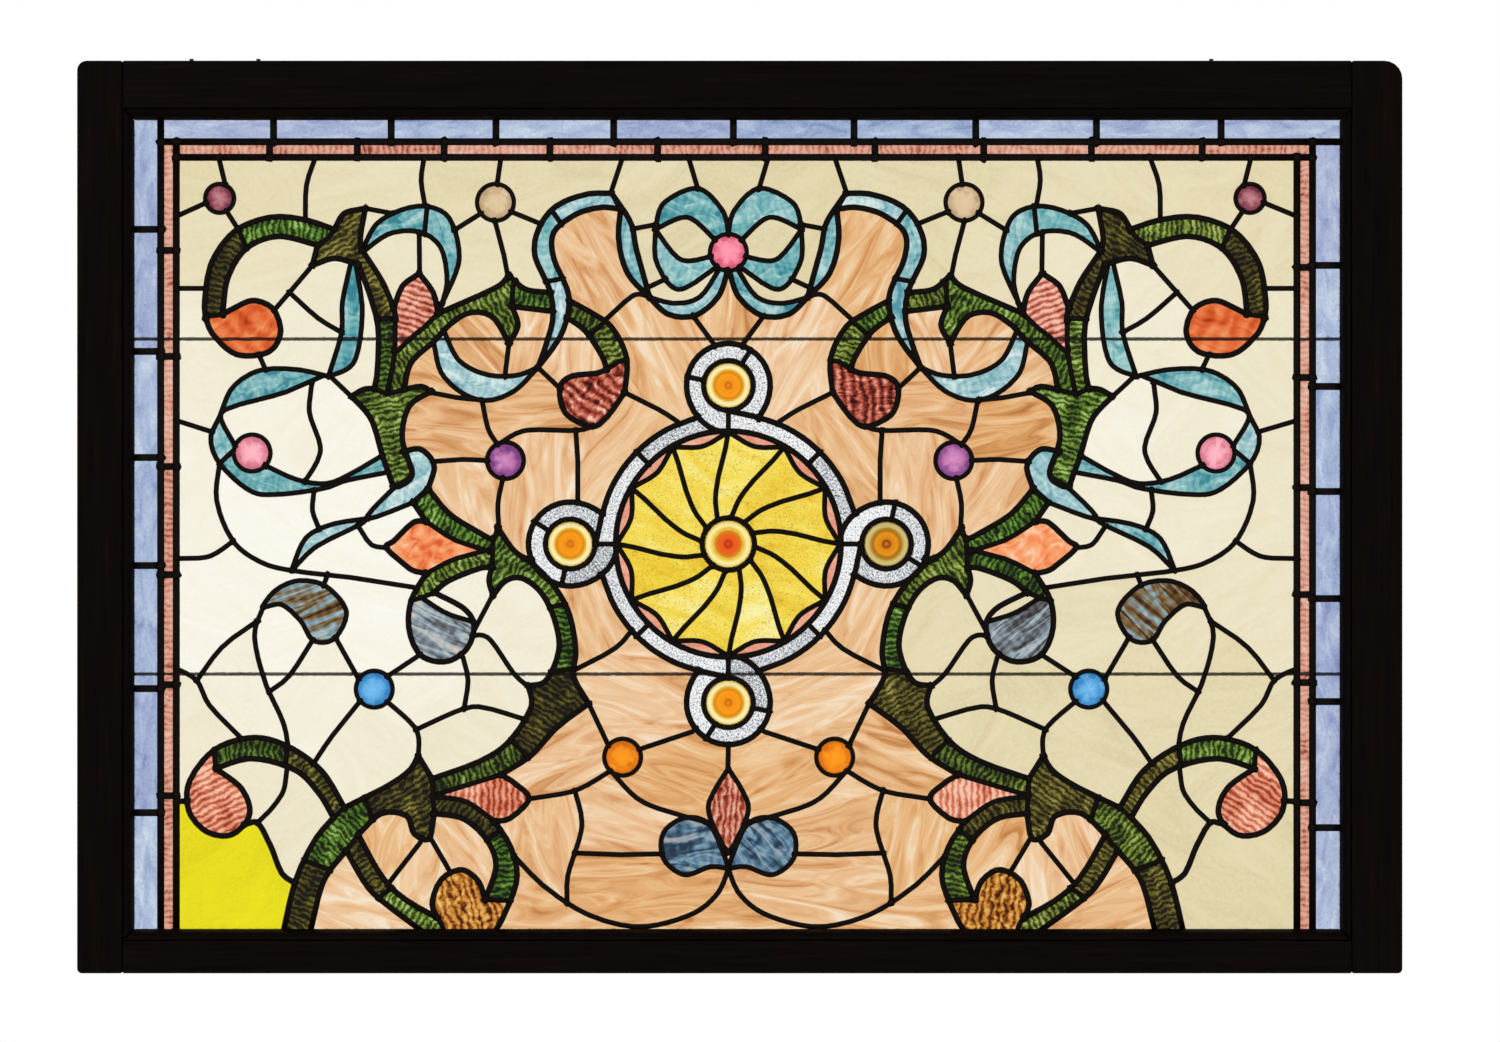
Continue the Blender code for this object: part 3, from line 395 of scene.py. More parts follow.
# Wheel and ring at the centre, in picture units from the wheel's centre
WHEEL_PX = (728, 543.5)
WHEEL_INNER_PX = 113
WHEEL_OUTER_PX = 130
WHEEL_OUTER_FROM_DEG = 105
WHEEL_OUTER_TO_DEG = 180
SATELLITE_OFFSET_PX = 158.5
SATELLITE_RING_PX = 42
SATELLITE_DROP_PX = 5
SPOKES = 12
SATELLITE_INNER_PX = 26
SATELLITE_CROSSES_DEG = (58, 168, 270)
PETAL_FOOT_PX = 101
PETAL_FROM_PX = 103
SPOKE_HUB_PX = 28
SPOKE_TIP_PX = 112
SPOKE_TWIST_DEG = 24
SPOKE_BEND = 1.6

# Jewels of the left half by place and radius, and the one on the axis
LEFT_JEWELS = {
    "jewel_plum": ((218, 198), SMALL_JEWEL_RADIUS),
    "jewel_cream": ((494.5, 202), JEWEL_RADIUS),
    "jewel_violet": ((504.5, 460), JEWEL_RADIUS),
    "jewel_pink": ((250.5, 452.5), JEWEL_RADIUS),
    "jewel_blue": ((373, 688.5), JEWEL_RADIUS),
    "jewel_orange": ((622, 756.5), JEWEL_RADIUS),
}
ROSE_JEWEL_PX = (728, 252)

# A point in every pane of the left half that isn't of its region's common glass
PANE_SEEDS = {
    "orange_bud": [(240, 328)],
    "red_bud": [(414, 305)],
    "crimson_bud": [(588, 398)],
    "flame_lens": [(430, 547)],
    "blue_bud": [(440, 628)],
    "coral_bud": [(500, 797), (215, 800)],
    "amber_bud": [(458, 893)],
    "comma_bud": [(318, 606)],
    "coral_lens": [(727, 808)],
    "blue_drop": [(690, 845)],
    "turquoise": [
        (350, 300), (400, 219), (443, 225), (449, 275), (270, 382), (213, 440), (250, 478), (350, 477),
        (420, 465), (385, 505), (325, 535), (470, 382), (690, 205), (690, 272), (680, 308), (575, 203),
        (545, 245), (559, 310), (612, 200), (627, 250), (225, 440), (355, 330), (705, 290), (372, 467),
    ],
    "cream_field": [(375, 218), (690, 240), (443, 601), (385, 528)],
    "olive_vine": [
        (345, 235), (400, 790), (366, 275), (214, 285), (318, 781), (305, 895), (537, 730), (463, 809),
        (372, 880),
    ],
    "green_vine": [(460, 564), (285, 227), (386, 360), (400, 906)],
}
# The common glass of each region, by the name that its CAD pane starts with
REGION_GLASS = {
    "border_blue": "blue_border",
    "border_pink": "pink_border",
    "field_cream": "cream_field",
    "field_tan": "tan_field",
    "wheel_yellow": "amber_wheel",
    "ring_white": "white_ring",
    "corner_left": "yellow_corner",
    "corner_right": "cream_field",
    "vine": "green_vine",
    "ribbon": "turquoise",
    "scroll_field": "cream_field",
    "foot": "tan_field",
}


def hex_to_linear(code):
    """An sRGB hex colour as the linear numbers that shaders take."""
    values = []
    for start in (1, 3, 5):
        value = int(code[start:start + 2], 16) / 255
        values.append(value / 12.92 if value <= 0.04045 else ((value + 0.055) / 1.055) ** 2.4)
    return tuple(values)


def fill_in(tree, node, inputs=None, links=None):
    """Sets a node's input values and joins the sockets that feed it."""
    for name, value in (inputs or {}).items():
        node.inputs[name].default_value = value
    for name, socket in (links or {}).items():
        tree.links.new(socket, node.inputs[name])


def add_node(tree, kind, settings=None, inputs=None, links=None):
    """A shader node with its settings, its input values and the sockets that feed it."""
    node = tree.nodes.new(kind)
    for name, value in (settings or {}).items():
        setattr(node, name, value)
    fill_in(tree, node, inputs, links)
    return node


def new_surface(name):
    """A material with its shader and nothing else."""
    material = bpy.data.materials.new(name)
    material.use_nodes = True
    tree = material.node_tree
    tree.nodes.clear()
    shader = add_node(tree, "ShaderNodeBsdfPrincipled")
    add_node(tree, "ShaderNodeOutputMaterial", links={"Surface": shader.outputs["BSDF"]})
    return material, tree, shader


def ramp_colours(ramp, stops):
    """Fills a colour ramp from (place, hex colour) pairs."""
    elements = ramp.color_ramp.elements
    while len(elements) > 1:
        elements.remove(elements[-1])
    for index, (place, code) in enumerate(stops):
        element = elements[0] if index == 0 else elements.new(place)
        element.position = place
        element.color = (*hex_to_linear(code), 1.0)


def lit_glass(tree, shader, roughness, level, links):
    """Soda glass against the light: nearly all of it comes through, and the room shows only faintly."""
    values = {
        "Roughness": roughness, "IOR": 1.5, "Transmission Weight": 0.97, "Specular IOR Level": level,
        "Specular Tint": (0.25, 0.25, 0.25, 1.0),
    }
    fill_in(tree, shader, values, links)


def seedy(tree, sheet, tint, code):
    """Lays the fine dark seeds and scratches of antique glass over its tint."""
    seeds = add_node(
        tree, "ShaderNodeTexNoise", {"noise_dimensions": "2D"},
        {"Scale": 1 / SEED_SPACING, "Detail": 3.0, "Roughness": 0.7, "Distortion": 2.0},
        {"Vector": sheet.outputs["UV"]})
    amount = add_node(tree, "ShaderNodeValToRGB", links={"Fac": seeds.outputs["Fac"]})
    ramp_colours(amount, [(0.575, "#000000"), (0.62, "#B4B4B4")])
    mixed = add_node(
        tree, "ShaderNodeMix", {"data_type": "RGBA"}, {7: (*hex_to_linear(code), 1.0)},
        {0: amount.outputs["Color"], 6: tint})
    return mixed.outputs[2]


def art_glass(name, recipe):
    """Rolled coloured glass, lit through: streaks, and ripples and dimples with painted light and shade, from
    a recipe.

    The pane's sheet map carries the pattern. Its batch map says how far the pane takes the tones of
    the other batch, and how light it is; in the cream field both follow painted pools of light.
    """
    material, tree, shader = new_surface(name)
    sheet = add_node(tree, "ShaderNodeUVMap", {"uv_map": "sheet"})
    batch_map = add_node(tree, "ShaderNodeUVMap", {"uv_map": "batch"})
    batch = add_node(tree, "ShaderNodeSeparateXYZ", links={"Vector": batch_map.outputs["UV"]})
    length, width = recipe["streak"]
    stretched = add_node(
        tree, "ShaderNodeMapping", inputs={"Scale": (1 / length, 1 / width, 1.0)},
        links={"Vector": sheet.outputs["UV"]})
    streaks = add_node(
        tree, "ShaderNodeTexNoise", {"noise_dimensions": "2D"},
        {"Scale": 1.0, "Detail": recipe.get("detail", 6.0), "Roughness": 0.6,
         "Distortion": recipe.get("swirl", 0.5)},
        {"Vector": stretched.outputs["Vector"]})
    if "ripple" in recipe:
        surface = add_node(
            tree, "ShaderNodeTexWave", {"wave_type": "BANDS", "bands_direction": "X"},
            {"Scale": WAVE_SPACING / recipe["ripple"], "Distortion": recipe["wobble"], "Detail": 3.0,
             "Detail Scale": 1.3, "Detail Roughness": 0.65},
            {"Vector": sheet.outputs["UV"]})
    else:
        surface = add_node(
            tree, "ShaderNodeTexNoise", {"noise_dimensions": "2D"},
            {"Scale": 1 / recipe["grain"], "Detail": 2.0, "Roughness": 0.5, "Distortion": 0.6},
            {"Vector": sheet.outputs["UV"]})
    # The surface's pattern goes into the tone too, as painted light and shade of its ripples or dimples
    mixed = add_node(
        tree, "ShaderNodeMix", {"data_type": "FLOAT"}, {"Factor": recipe["share"]},
        {"A": streaks.outputs["Fac"], "B": surface.outputs["Fac"]})
    calm = recipe.get("calm", 1.0)
    calmed = add_node(
        tree, "ShaderNodeMath", {"operation": "MULTIPLY_ADD"}, {1: calm, 2: 0.5 - 0.5 * calm},
        {0: mixed.outputs["Result"]})
    shift = add_node(
        tree, "ShaderNodeMath", {"operation": "MULTIPLY_ADD"}, {1: 2 * BATCH_SHIFT, 2: -BATCH_SHIFT},
        {0: batch.outputs["Y"]})
    toned = add_node(
        tree, "ShaderNodeMath", {"operation": "ADD"},
        links={0: calmed.outputs["Value"], 1: shift.outputs["Value"]})
    colours = {0: batch.outputs["X"]}
    for socket, tones in ((6, recipe["tones"]), (7, recipe.get("other", recipe["tones"]))):
        ramp = add_node(tree, "ShaderNodeValToRGB", links={"Fac": toned.outputs["Value"]})
        ramp_colours(ramp, tones)
        colours[socket] = ramp.outputs["Color"]
    tint = add_node(tree, "ShaderNodeMix", {"data_type": "RGBA"}, links=colours).outputs[2]
    if "specks" in recipe:
        tint = seedy(tree, sheet, tint, recipe["specks"])
    bump = add_node(
        tree, "ShaderNodeBump", inputs={"Strength": recipe.get("bump", 0.3), "Distance": 0.0006},
        links={"Height": surface.outputs["Fac"]})
    lit_glass(tree, shader, 0.18, 0.12, {"Base Color": tint, "Normal": bump.outputs["Normal"]})
    return material


# Each glass: the slot that it takes, its tones from dark to pale and those of its other batch. streak is
# the length and width of its streaks, and ripple or grain the spacing of its surface, in metres. share
# is how much of the tone follows the surface, which paints the light and shade of its ripples or dimples
# into the colour, calm how much of the contrast is kept, swirl and wobble how far streaks and ripples
# wander, detail how finely the streaks break up, bump how strong the relief is, and specks the colour of
# its seeds.
GLASS = {
    # Opalescent cream, rolled with milk white: thin wisps, nearly even; whiter where pools of light are
    # painted on the field
    "cream_field": {
        "slot": "glass_cream",
        "tones": [(0.3, "#D6C79A"), (0.45, "#E5D8AE"), (0.6, "#EBE0BA"), (0.75, "#F0E7C8")],
        "other": [(0.3, "#EEE4C8"), (0.45, "#F8F2DE"), (0.6, "#FCF9EC"), (0.75, "#FFFEF8")],
        "streak": (0.1, 0.03), "grain": 0.003, "share": 0.3, "swirl": 1.2, "calm": 0.45,
    },
    # Opalescent tan, stirred as it was rolled: soft brown streaks pulled through peach and milk
    "tan_field": {
        "slot": "glass_tan",
        "tones": [
            (0.26, "#BC7A42"), (0.36, "#D69A5C"), (0.46, "#E4AC72"), (0.58, "#ECBE88"), (0.74, "#F4D8B2"),
        ],
        "other": [
            (0.26, "#D0905A"), (0.36, "#E2AC78"), (0.46, "#ECC092"), (0.58, "#F3D0A8"), (0.74, "#FAE8D0"),
        ],
        "streak": (0.08, 0.016), "grain": 0.0018, "share": 0.06, "swirl": 1.4, "detail": 3.5,
    },
    # Golden antique glass, mouth blown: pale wisps and fine dark seeds
    "amber_wheel": {
        "slot": "glass_amber",
        "tones": [(0.25, "#E0AC20"), (0.4, "#F0CA34"), (0.55, "#F8DC44"), (0.72, "#FDEE80")],
        "other": [(0.25, "#ECC038"), (0.4, "#F8DA4C"), (0.55, "#FDEA70"), (0.72, "#FFF8B4")],
        "streak": (0.04, 0.014), "grain": 0.0016, "share": 0.2, "calm": 0.8, "specks": "#8C6A10",
    },
    # Clear hammered glass, rolled on a dimpled bed: small dimples, their light and shade painted into the
    # colour in greys and white
    "white_ring": {
        "slot": "glass_white",
        "tones": [(0.3, "#62666C"), (0.43, "#A8ACB2"), (0.5, "#DCDFE2"), (0.64, "#FDFDFD")],
        "streak": (0.02, 0.02), "grain": 0.0014, "share": 0.9, "bump": 0.6,
    },
    # Rolled yellow glass: almost even, with a faint grain
    "yellow_corner": {
        "slot": "glass_yellow",
        "tones": [(0.3, "#DCCC10"), (0.45, "#EBE014"), (0.6, "#F2EA18"), (0.75, "#F8F240")],
        "streak": (0.06, 0.03), "grain": 0.0018, "share": 0.4, "calm": 0.5,
    },
    # Wispy border glass: periwinkle blue going to violet and to milk
    "blue_border": {
        "slot": "glass_blue",
        "tones": [(0.25, "#8094BC"), (0.42, "#A0B2D4"), (0.58, "#B8C8E0"), (0.75, "#D4DFEC")],
        "other": [(0.25, "#7A84B4"), (0.42, "#98A4CC"), (0.58, "#AEBAD8"), (0.75, "#C6D0E6")],
        "streak": (0.03, 0.01), "grain": 0.0022, "share": 0.25, "detail": 4.0,
    },
    # Salmon ripple glass: fine ripples across the strip
    "pink_border": {
        "slot": "glass_pink",
        "tones": [
            (0.2, "#84382A"), (0.34, "#C07660"), (0.48, "#D89A84"), (0.65, "#E2AC98"), (0.85, "#EEC6B4"),
        ],
        "streak": (0.02, 0.01), "ripple": 0.0052, "share": 0.24, "wobble": 8.0, "detail": 3.5,
    },
    # Wispy turquoise: from teal to a milky blue
    "turquoise": {
        "slot": "glass_turquoise",
        "tones": [(0.3, "#338490"), (0.43, "#63A9AE"), (0.56, "#8ABEC0"), (0.7, "#B2D6D4")],
        "other": [(0.3, "#569AA8"), (0.43, "#88B8C0"), (0.56, "#ACCED2"), (0.72, "#D8EAE8")],
        "streak": (0.022, 0.01), "ripple": 0.006, "share": 0.08, "wobble": 8.0, "swirl": 0.9,
        "detail": 3.5,
    },
    # Green ripple glass: ripples across the stem, with painted light on their crests
    "green_vine": {
        "slot": "glass_green",
        "tones": [
            (0.31, "#081002"), (0.44, "#1E3806"), (0.57, "#3C6214"), (0.71, "#6A9434"), (0.86, "#B0D080"),
        ],
        "other": [
            (0.3, "#0E1002"), (0.42, "#2A3206"), (0.54, "#4C5A12"), (0.68, "#828E36"), (0.84, "#C2C67A"),
        ],
        "streak": (0.018, 0.012), "ripple": 0.0048, "share": 0.32, "wobble": 9.0, "bump": 0.5,
        "detail": 3.0,
    },
    # The same ripple glass in olive, with painted shade in its troughs
    "olive_vine": {
        "slot": "glass_green",
        "tones": [
            (0.32, "#0A0800"), (0.45, "#2A2404"), (0.6, "#4C4410"), (0.74, "#76702A"), (0.88, "#ACA460"),
        ],
        "streak": (0.018, 0.012), "ripple": 0.0048, "share": 0.32, "wobble": 9.0, "bump": 0.5,
        "detail": 3.0,
    },
    # Streaky orange, drawn while hot: broad pale bands
    "orange_bud": {
        "slot": "glass_amber",
        "tones": [
            (0.22, "#8C2404"), (0.34, "#CC4C18"), (0.5, "#E66C34"), (0.66, "#F08C54"), (0.84, "#F8BC94"),
        ],
        "streak": (0.03, 0.014), "ripple": 0.013, "share": 0.16, "wobble": 5.0, "bump": 0.5,
        "detail": 3.5,
    },
    # Faded red ripple glass: each crest a pale line of painted light
    "red_bud": {
        "slot": "glass_pink",
        "tones": [(0.24, "#6C2010"), (0.38, "#B4543E"), (0.54, "#DA8670"), (0.74, "#F6C4AE")],
        "streak": (0.022, 0.014), "ripple": 0.0052, "share": 0.36, "wobble": 5.0, "bump": 0.5,
        "detail": 2.5,
    },
    # Crimson drapery glass, folded while soft: near black, with painted pale highlights on its folds
    "crimson_bud": {
        "slot": "glass_tan",
        "tones": [
            (0.3, "#1C0402"), (0.4, "#5E140A"), (0.52, "#A03C2A"), (0.66, "#D47860"), (0.82, "#F8DCCC"),
        ],
        "streak": (0.018, 0.007), "ripple": 0.008, "share": 0.26, "wobble": 7.0, "bump": 0.5,
        "swirl": 1.4, "detail": 4.0,
    },
    # Flame streaky glass: soft and bright
    "flame_lens": {
        "slot": "glass_pink",
        "tones": [(0.24, "#E0602C"), (0.4, "#F68A54"), (0.56, "#FCA872"), (0.74, "#FFD0AC")],
        "streak": (0.02, 0.012), "ripple": 0.014, "share": 0.12, "wobble": 8.0, "bump": 0.5, "swirl": 1.2,
    },
    # Grey blue streaky glass, drawn one way: bands with warm threads
    "blue_bud": {
        "slot": "glass_blue",
        "tones": [
            (0.28, "#2C221C"), (0.4, "#5E6062"), (0.5, "#808E98"), (0.62, "#A8B8C0"), (0.78, "#DCC8A8"),
        ],
        "streak": (0.035, 0.0055), "ripple": 0.0075, "share": 0.06, "wobble": 7.0, "bump": 0.5,
        "swirl": 0.7, "detail": 3.0,
    },
    # Brown and blue poured side by side and drawn out: plain bands of both
    "comma_bud": {
        "slot": "glass_tan",
        "tones": [
            (0.3, "#241408"), (0.41, "#68481E"), (0.48, "#84704C"), (0.55, "#7C98A2"), (0.64, "#A4BEC4"),
            (0.78, "#E0B47C"),
        ],
        "streak": (0.055, 0.0065), "ripple": 0.0085, "share": 0.05, "wobble": 6.0, "bump": 0.5,
        "swirl": 0.5, "detail": 3.0,
    },
    # Coral ripple glass: close and even
    "coral_bud": {
        "slot": "glass_pink",
        "tones": [(0.26, "#94341A"), (0.38, "#C86244"), (0.54, "#E08C6C"), (0.74, "#F8C6AC")],
        "streak": (0.022, 0.014), "ripple": 0.0052, "share": 0.34, "wobble": 6.0, "bump": 0.5,
        "detail": 2.5,
    },
    # Dark coral ripple glass: finer, and with deeper painted shade in its troughs
    "coral_lens": {
        "slot": "glass_pink",
        "tones": [(0.26, "#701A10"), (0.38, "#A8462E"), (0.54, "#CC745A"), (0.74, "#EEC0AC")],
        "streak": (0.016, 0.012), "ripple": 0.005, "share": 0.34, "wobble": 8.0, "bump": 0.5,
        "detail": 3.0,
    },
    # Mottled amber ripple glass: painted shade, dark brown, in its troughs
    "amber_bud": {
        "slot": "glass_tan",
        "tones": [
            (0.3, "#341404"), (0.42, "#864208"), (0.54, "#BC741C"), (0.7, "#DEA650"), (0.86, "#F2D090"),
        ],
        "streak": (0.014, 0.009), "ripple": 0.0062, "share": 0.3, "wobble": 9.0, "bump": 0.5,
        "swirl": 1.2, "detail": 3.0,
    },
    # Slate blue streaky glass: bands with rosy threads
    "blue_drop": {
        "slot": "glass_blue",
        "tones": [
            (0.3, "#22364A"), (0.38, "#436178"), (0.46, "#6488A2"), (0.54, "#8AA6B2"), (0.62, "#B09A98"),
            (0.72, "#CCA290"),
        ],
        "streak": (0.03, 0.008), "ripple": 0.008, "share": 0.06, "wobble": 6.0, "bump": 0.5, "swirl": 0.9,
        "detail": 3.5,
    },
    # Plain rolled pink glass: even, without a grain
    "pink_petal": {
        "slot": "glass_pink",
        "tones": [(0.3, "#DC8C6C"), (0.5, "#ECA488"), (0.7, "#F6C4AC")],
        "streak": (0.03, 0.01), "grain": 0.002, "share": 0.3,
    },
}
# The milkiest panes of the turquoise ribbons
PALE_PANES = [(470, 382), (980, 382), (559, 312), (575, 203), (385, 503), (325, 535), (883, 203)]
# Glass whose ripples run across the pane's length; the rest is cut at any angle
ALONG_THE_PANE = (
    "green_vine", "olive_vine", "turquoise", "blue_border", "pink_border", "coral_bud", "red_bud",
    "tan_field",
)
# Painted pools of light in the cream field, where its panes are painted paler and lighter, each with its
# strength, and how far they reach
PAINTED_LIGHT_POOLS_PX = [((330, 540), 1.25), ((1130, 430), 0.85)]
LIGHT_POOL_REACH = 0.26


def to_real(point):
    """A cartoon point as (x, z) in metres, stretched to the field inside the border."""
    across = (point[0] - FIELD_LEFT_PX) / (FIELD_RIGHT_PX - FIELD_LEFT_PX)
    down = (point[1] - FIELD_TOP_PX) / (FIELD_BOTTOM_PX - FIELD_TOP_PX)
    x = FIELD_LEFT + across * (FIELD_RIGHT - FIELD_LEFT)
    z = FIELD_TOP + down * (FIELD_BOTTOM - FIELD_TOP)
    return Vector((x, z))


def line_point(point):
    """A point of a line: one drawn past the field stops at the field's came."""
    place = to_real(point)
    place.x = min(max(place.x, FIELD_LEFT), FIELD_RIGHT)
    place.y = min(place.y, FIELD_TOP)
    if point[1] > FIELD_BOTTOM_PX:
        place.y = NET_LOW.z + EDGE_INSET
    return place


def mirror_point(point):
    """The same place on the right half, which is drawn a little wider."""
    reach = AXIS_PX - point[0]
    return AXIS_PX + reach * (1 + MIRROR_STRETCH * reach), point[1]


def polar(centre, radius, degrees):
    """A cartoon point by its reach from a centre and its angle, anticlockwise from the right."""
    angle = math.radians(degrees)
    return centre[0] + radius * math.cos(angle), centre[1] - radius * math.sin(angle)


def smooth_curve(points, steps=10):
    """A Catmull-Rom curve through the points, which goes round if it ends where it starts."""
    if len(points) < 3:
        return list(points)
    closed = (points[0] - points[-1]).length < 1e-6
    before = points[-2] if closed else points[0]
    after = points[1] if closed else points[-1]
    knots = [before] + list(points) + [after]
    curve = [points[0].copy()]
    for index in range(1, len(knots) - 2):
        a, b, c, d = (knots[index + offset] for offset in (-1, 0, 1, 2))
        for step in range(1, steps + 1):
            t = step / steps
            curve.append(
                0.5 * ((2 * b) + (c - a) * t + (2 * a - 5 * b + 4 * c - d) * t * t
                       + (3 * b - a - 3 * c + d) * t * t * t)
            )
    return curve


def thin_out(points, tolerance):
    """Keeps only the points that a curve needs to stay within the tolerance."""
    if len(points) < 3:
        return points
    start, chord = points[0], points[-1] - points[0]
    worst, split = 0.0, 0
    for index in range(1, len(points) - 1):
        offset = points[index] - start
        if chord.length > tolerance:
            distance = abs(chord.x * offset.y - chord.y * offset.x) / chord.length
        else:
            distance = offset.length
        if distance > worst:
            worst, split = distance, index
    if worst <= tolerance:
        return [points[0], points[-1]]
    return thin_out(points[:split + 1], tolerance)[:-1] + thin_out(points[split:], tolerance)


def jewel_places():
    """Every jewel and rondel: name, cartoon place and radius."""
    places = []
    for name, (place, radius) in LEFT_JEWELS.items():
        places.append((name + "_left", place, radius))
        places.append((name + "_right", mirror_point(place), radius))
    places.append(("jewel_rose", ROSE_JEWEL_PX, JEWEL_RADIUS))
    for index, side in enumerate(("top", "left", "bottom", "right")):
        centre = polar(WHEEL_PX, SATELLITE_OFFSET_PX, 90 + 90 * index)
        places.append(("rondel_" + side, centre, RONDEL_RADIUS))
    places.append(("rondel_centre", WHEEL_PX, CENTRE_RONDEL_RADIUS))
    return places


def meet_ring(point, ring_came):
    """An end of a line that comes to a jewel stops in the middle of the jewel's ring."""
    for _, place, radius in jewel_places():
        middle = to_real(place)
        reach = radius + ring_came / 2
        offset = point - middle
        if offset.length < reach + ring_came:
            return middle + offset.normalized() * reach
    return point


def satellite_radius(degrees):
    """The outer line of a small ring, which swells to meet the wheel's ring."""
    return SATELLITE_RING_PX + SATELLITE_DROP_PX * max(0.0, -math.sin(math.radians(degrees))) ** 3


class Came:
    """One strip of lead: its path in the panel's plane, its width, and whether it closes."""

    def __init__(self, family, path, width, closed=False):
        self.family = family
        self.path = path
        self.width = width
        self.closed = closed


def drawn_came(family, points_px, width, settings, mirrored=False):
    """A came along a smooth curve through cartoon points, or through their mirror images."""
    if mirrored:
        points_px = [mirror_point(point) for point in points_px]
    points = [line_point(point) for point in points_px]
    points[0] = meet_ring(points[0], settings.ring_came)
    points[-1] = meet_ring(points[-1], settings.ring_came)
    return Came(family, thin_out(smooth_curve(points), CURVE_TOLERANCE), width)


def border_cames(settings):
    """The straight cames of the border and the short ones across its two strips."""
    left, right = NET_LOW.x + EDGE_INSET, NET_HIGH.x - EDGE_INSET
    low, high = NET_LOW.z + EDGE_INSET, NET_HIGH.z - EDGE_INSET
    straight = [
        ((STRIP_LEFT, high), (STRIP_LEFT, low)),
        ((FIELD_LEFT, STRIP_TOP), (FIELD_LEFT, low)),
        ((STRIP_LEFT, STRIP_TOP), (right, STRIP_TOP)),
        ((FIELD_LEFT, FIELD_TOP), (STRIP_RIGHT, FIELD_TOP)),
        ((STRIP_RIGHT, STRIP_TOP), (STRIP_RIGHT, low)),
        ((FIELD_RIGHT, FIELD_TOP), (FIELD_RIGHT, low)),
    ]
    for side, edge, strip, field in (
            ("left", left, STRIP_LEFT, FIELD_LEFT), ("right", right, STRIP_RIGHT, FIELD_RIGHT)):
        for crosses, start, end in ((OUTER_CROSSES, edge, strip), (INNER_CROSSES, strip, field)):
            for place in crosses[side]:
                z = to_real((0, place)).y
                straight.append(((start, z), (end, z)))
    for crosses, start, end in ((OUTER_CROSSES, high, STRIP_TOP), (INNER_CROSSES, STRIP_TOP, FIELD_TOP)):
        for place in crosses["top"]:
            x = to_real((place, 0)).x
            straight.append(((x, start), (x, end)))
    width = settings.border_came
    cames = [Came("border", [Vector(start), Vector(end)], width) for start, end in straight]
    corners = [Vector(corner) for corner in ((left, low), (right, low), (right, high), (left, high))]
    cames.append(Came("border", corners, width, closed=True))
    return cames


def wheel_cames(settings):
    """The ring, its four small rings and the curved spokes, each the same quarter turned round."""
    cames = []
    outline, field = settings.outline_came, settings.field_came

    def add(points, width):
        cames.append(drawn_came("ring", points, width, settings))

    inner = [to_real(polar(WHEEL_PX, WHEEL_INNER_PX, degrees)) for degrees in range(0, 360, 5)]
    cames.append(Came("ring", inner, outline, closed=True))
    sweep = (WHEEL_OUTER_TO_DEG - WHEEL_OUTER_FROM_DEG) / 6
    for quarter in range(4):
        turn = 90 * quarter
        add([polar(WHEEL_PX, WHEEL_OUTER_PX, WHEEL_OUTER_FROM_DEG + sweep * step + turn)
             for step in range(7)], outline)
        centre = polar(WHEEL_PX, SATELLITE_OFFSET_PX, 90 + turn)
        add([polar(centre, satellite_radius(degrees), degrees + turn) for degrees in range(-45, 271, 15)],
            outline)
        for degrees in SATELLITE_CROSSES_DEG:
            add([polar(centre, reach, degrees + turn)
                 for reach in (SATELLITE_INNER_PX, satellite_radius(degrees))], field)
        add([polar(WHEEL_PX, reach, 45 + turn) for reach in (WHEEL_INNER_PX, WHEEL_OUTER_PX)], field)
    step_deg = 360 / SPOKES
    for spoke in range(SPOKES):
        spoke_line = []
        for share in (0, 0.2, 0.4, 0.6, 0.8, 1):
            reach = SPOKE_TIP_PX + (SPOKE_HUB_PX - SPOKE_TIP_PX) * share
            twist = SPOKE_TWIST_DEG * share ** SPOKE_BEND
            spoke_line.append(polar(WHEEL_PX, reach, spoke * step_deg + twist))
        add(spoke_line, field)
        add([polar(WHEEL_PX, reach, (spoke + share) * step_deg)
             for share, reach in ((0, SPOKE_TIP_PX), (0.5, PETAL_FOOT_PX), (1, SPOKE_TIP_PX))], field)
    return cames


def all_cames(settings):
    """The whole cartoon as cames."""
    cames = border_cames(settings) + wheel_cames(settings)
    for mirrored in (False, True):
        for points in THROUGH_LINES.values():
            cames.append(drawn_came("outline", points, settings.outline_came, settings, mirrored))
        for points in FACE_LINES.values():
            cames.append(drawn_came("field", points, settings.field_came, settings, mirrored))
    for points in CENTRE_LINES.values():
        cames.append(drawn_came("field", points, settings.field_came, settings))
    for _, place, radius in jewel_places():
        middle = to_real(place)
        ring = [middle + Vector((math.cos(turn), math.sin(turn))) * (radius + settings.ring_came / 2)
                for turn in (math.radians(10 * step) for step in range(36))]
        cames.append(Came("jewel", ring, settings.ring_came, closed=True))
    return close_gaps(cames)


def nearest_on(place, start, end):
    """The point of a straight run that lies nearest to a place."""
    run = end - start
    share = max(0.0, min(1.0, (place - start).dot(run) / max(run.dot(run), 1e-12)))
    return start + run * share


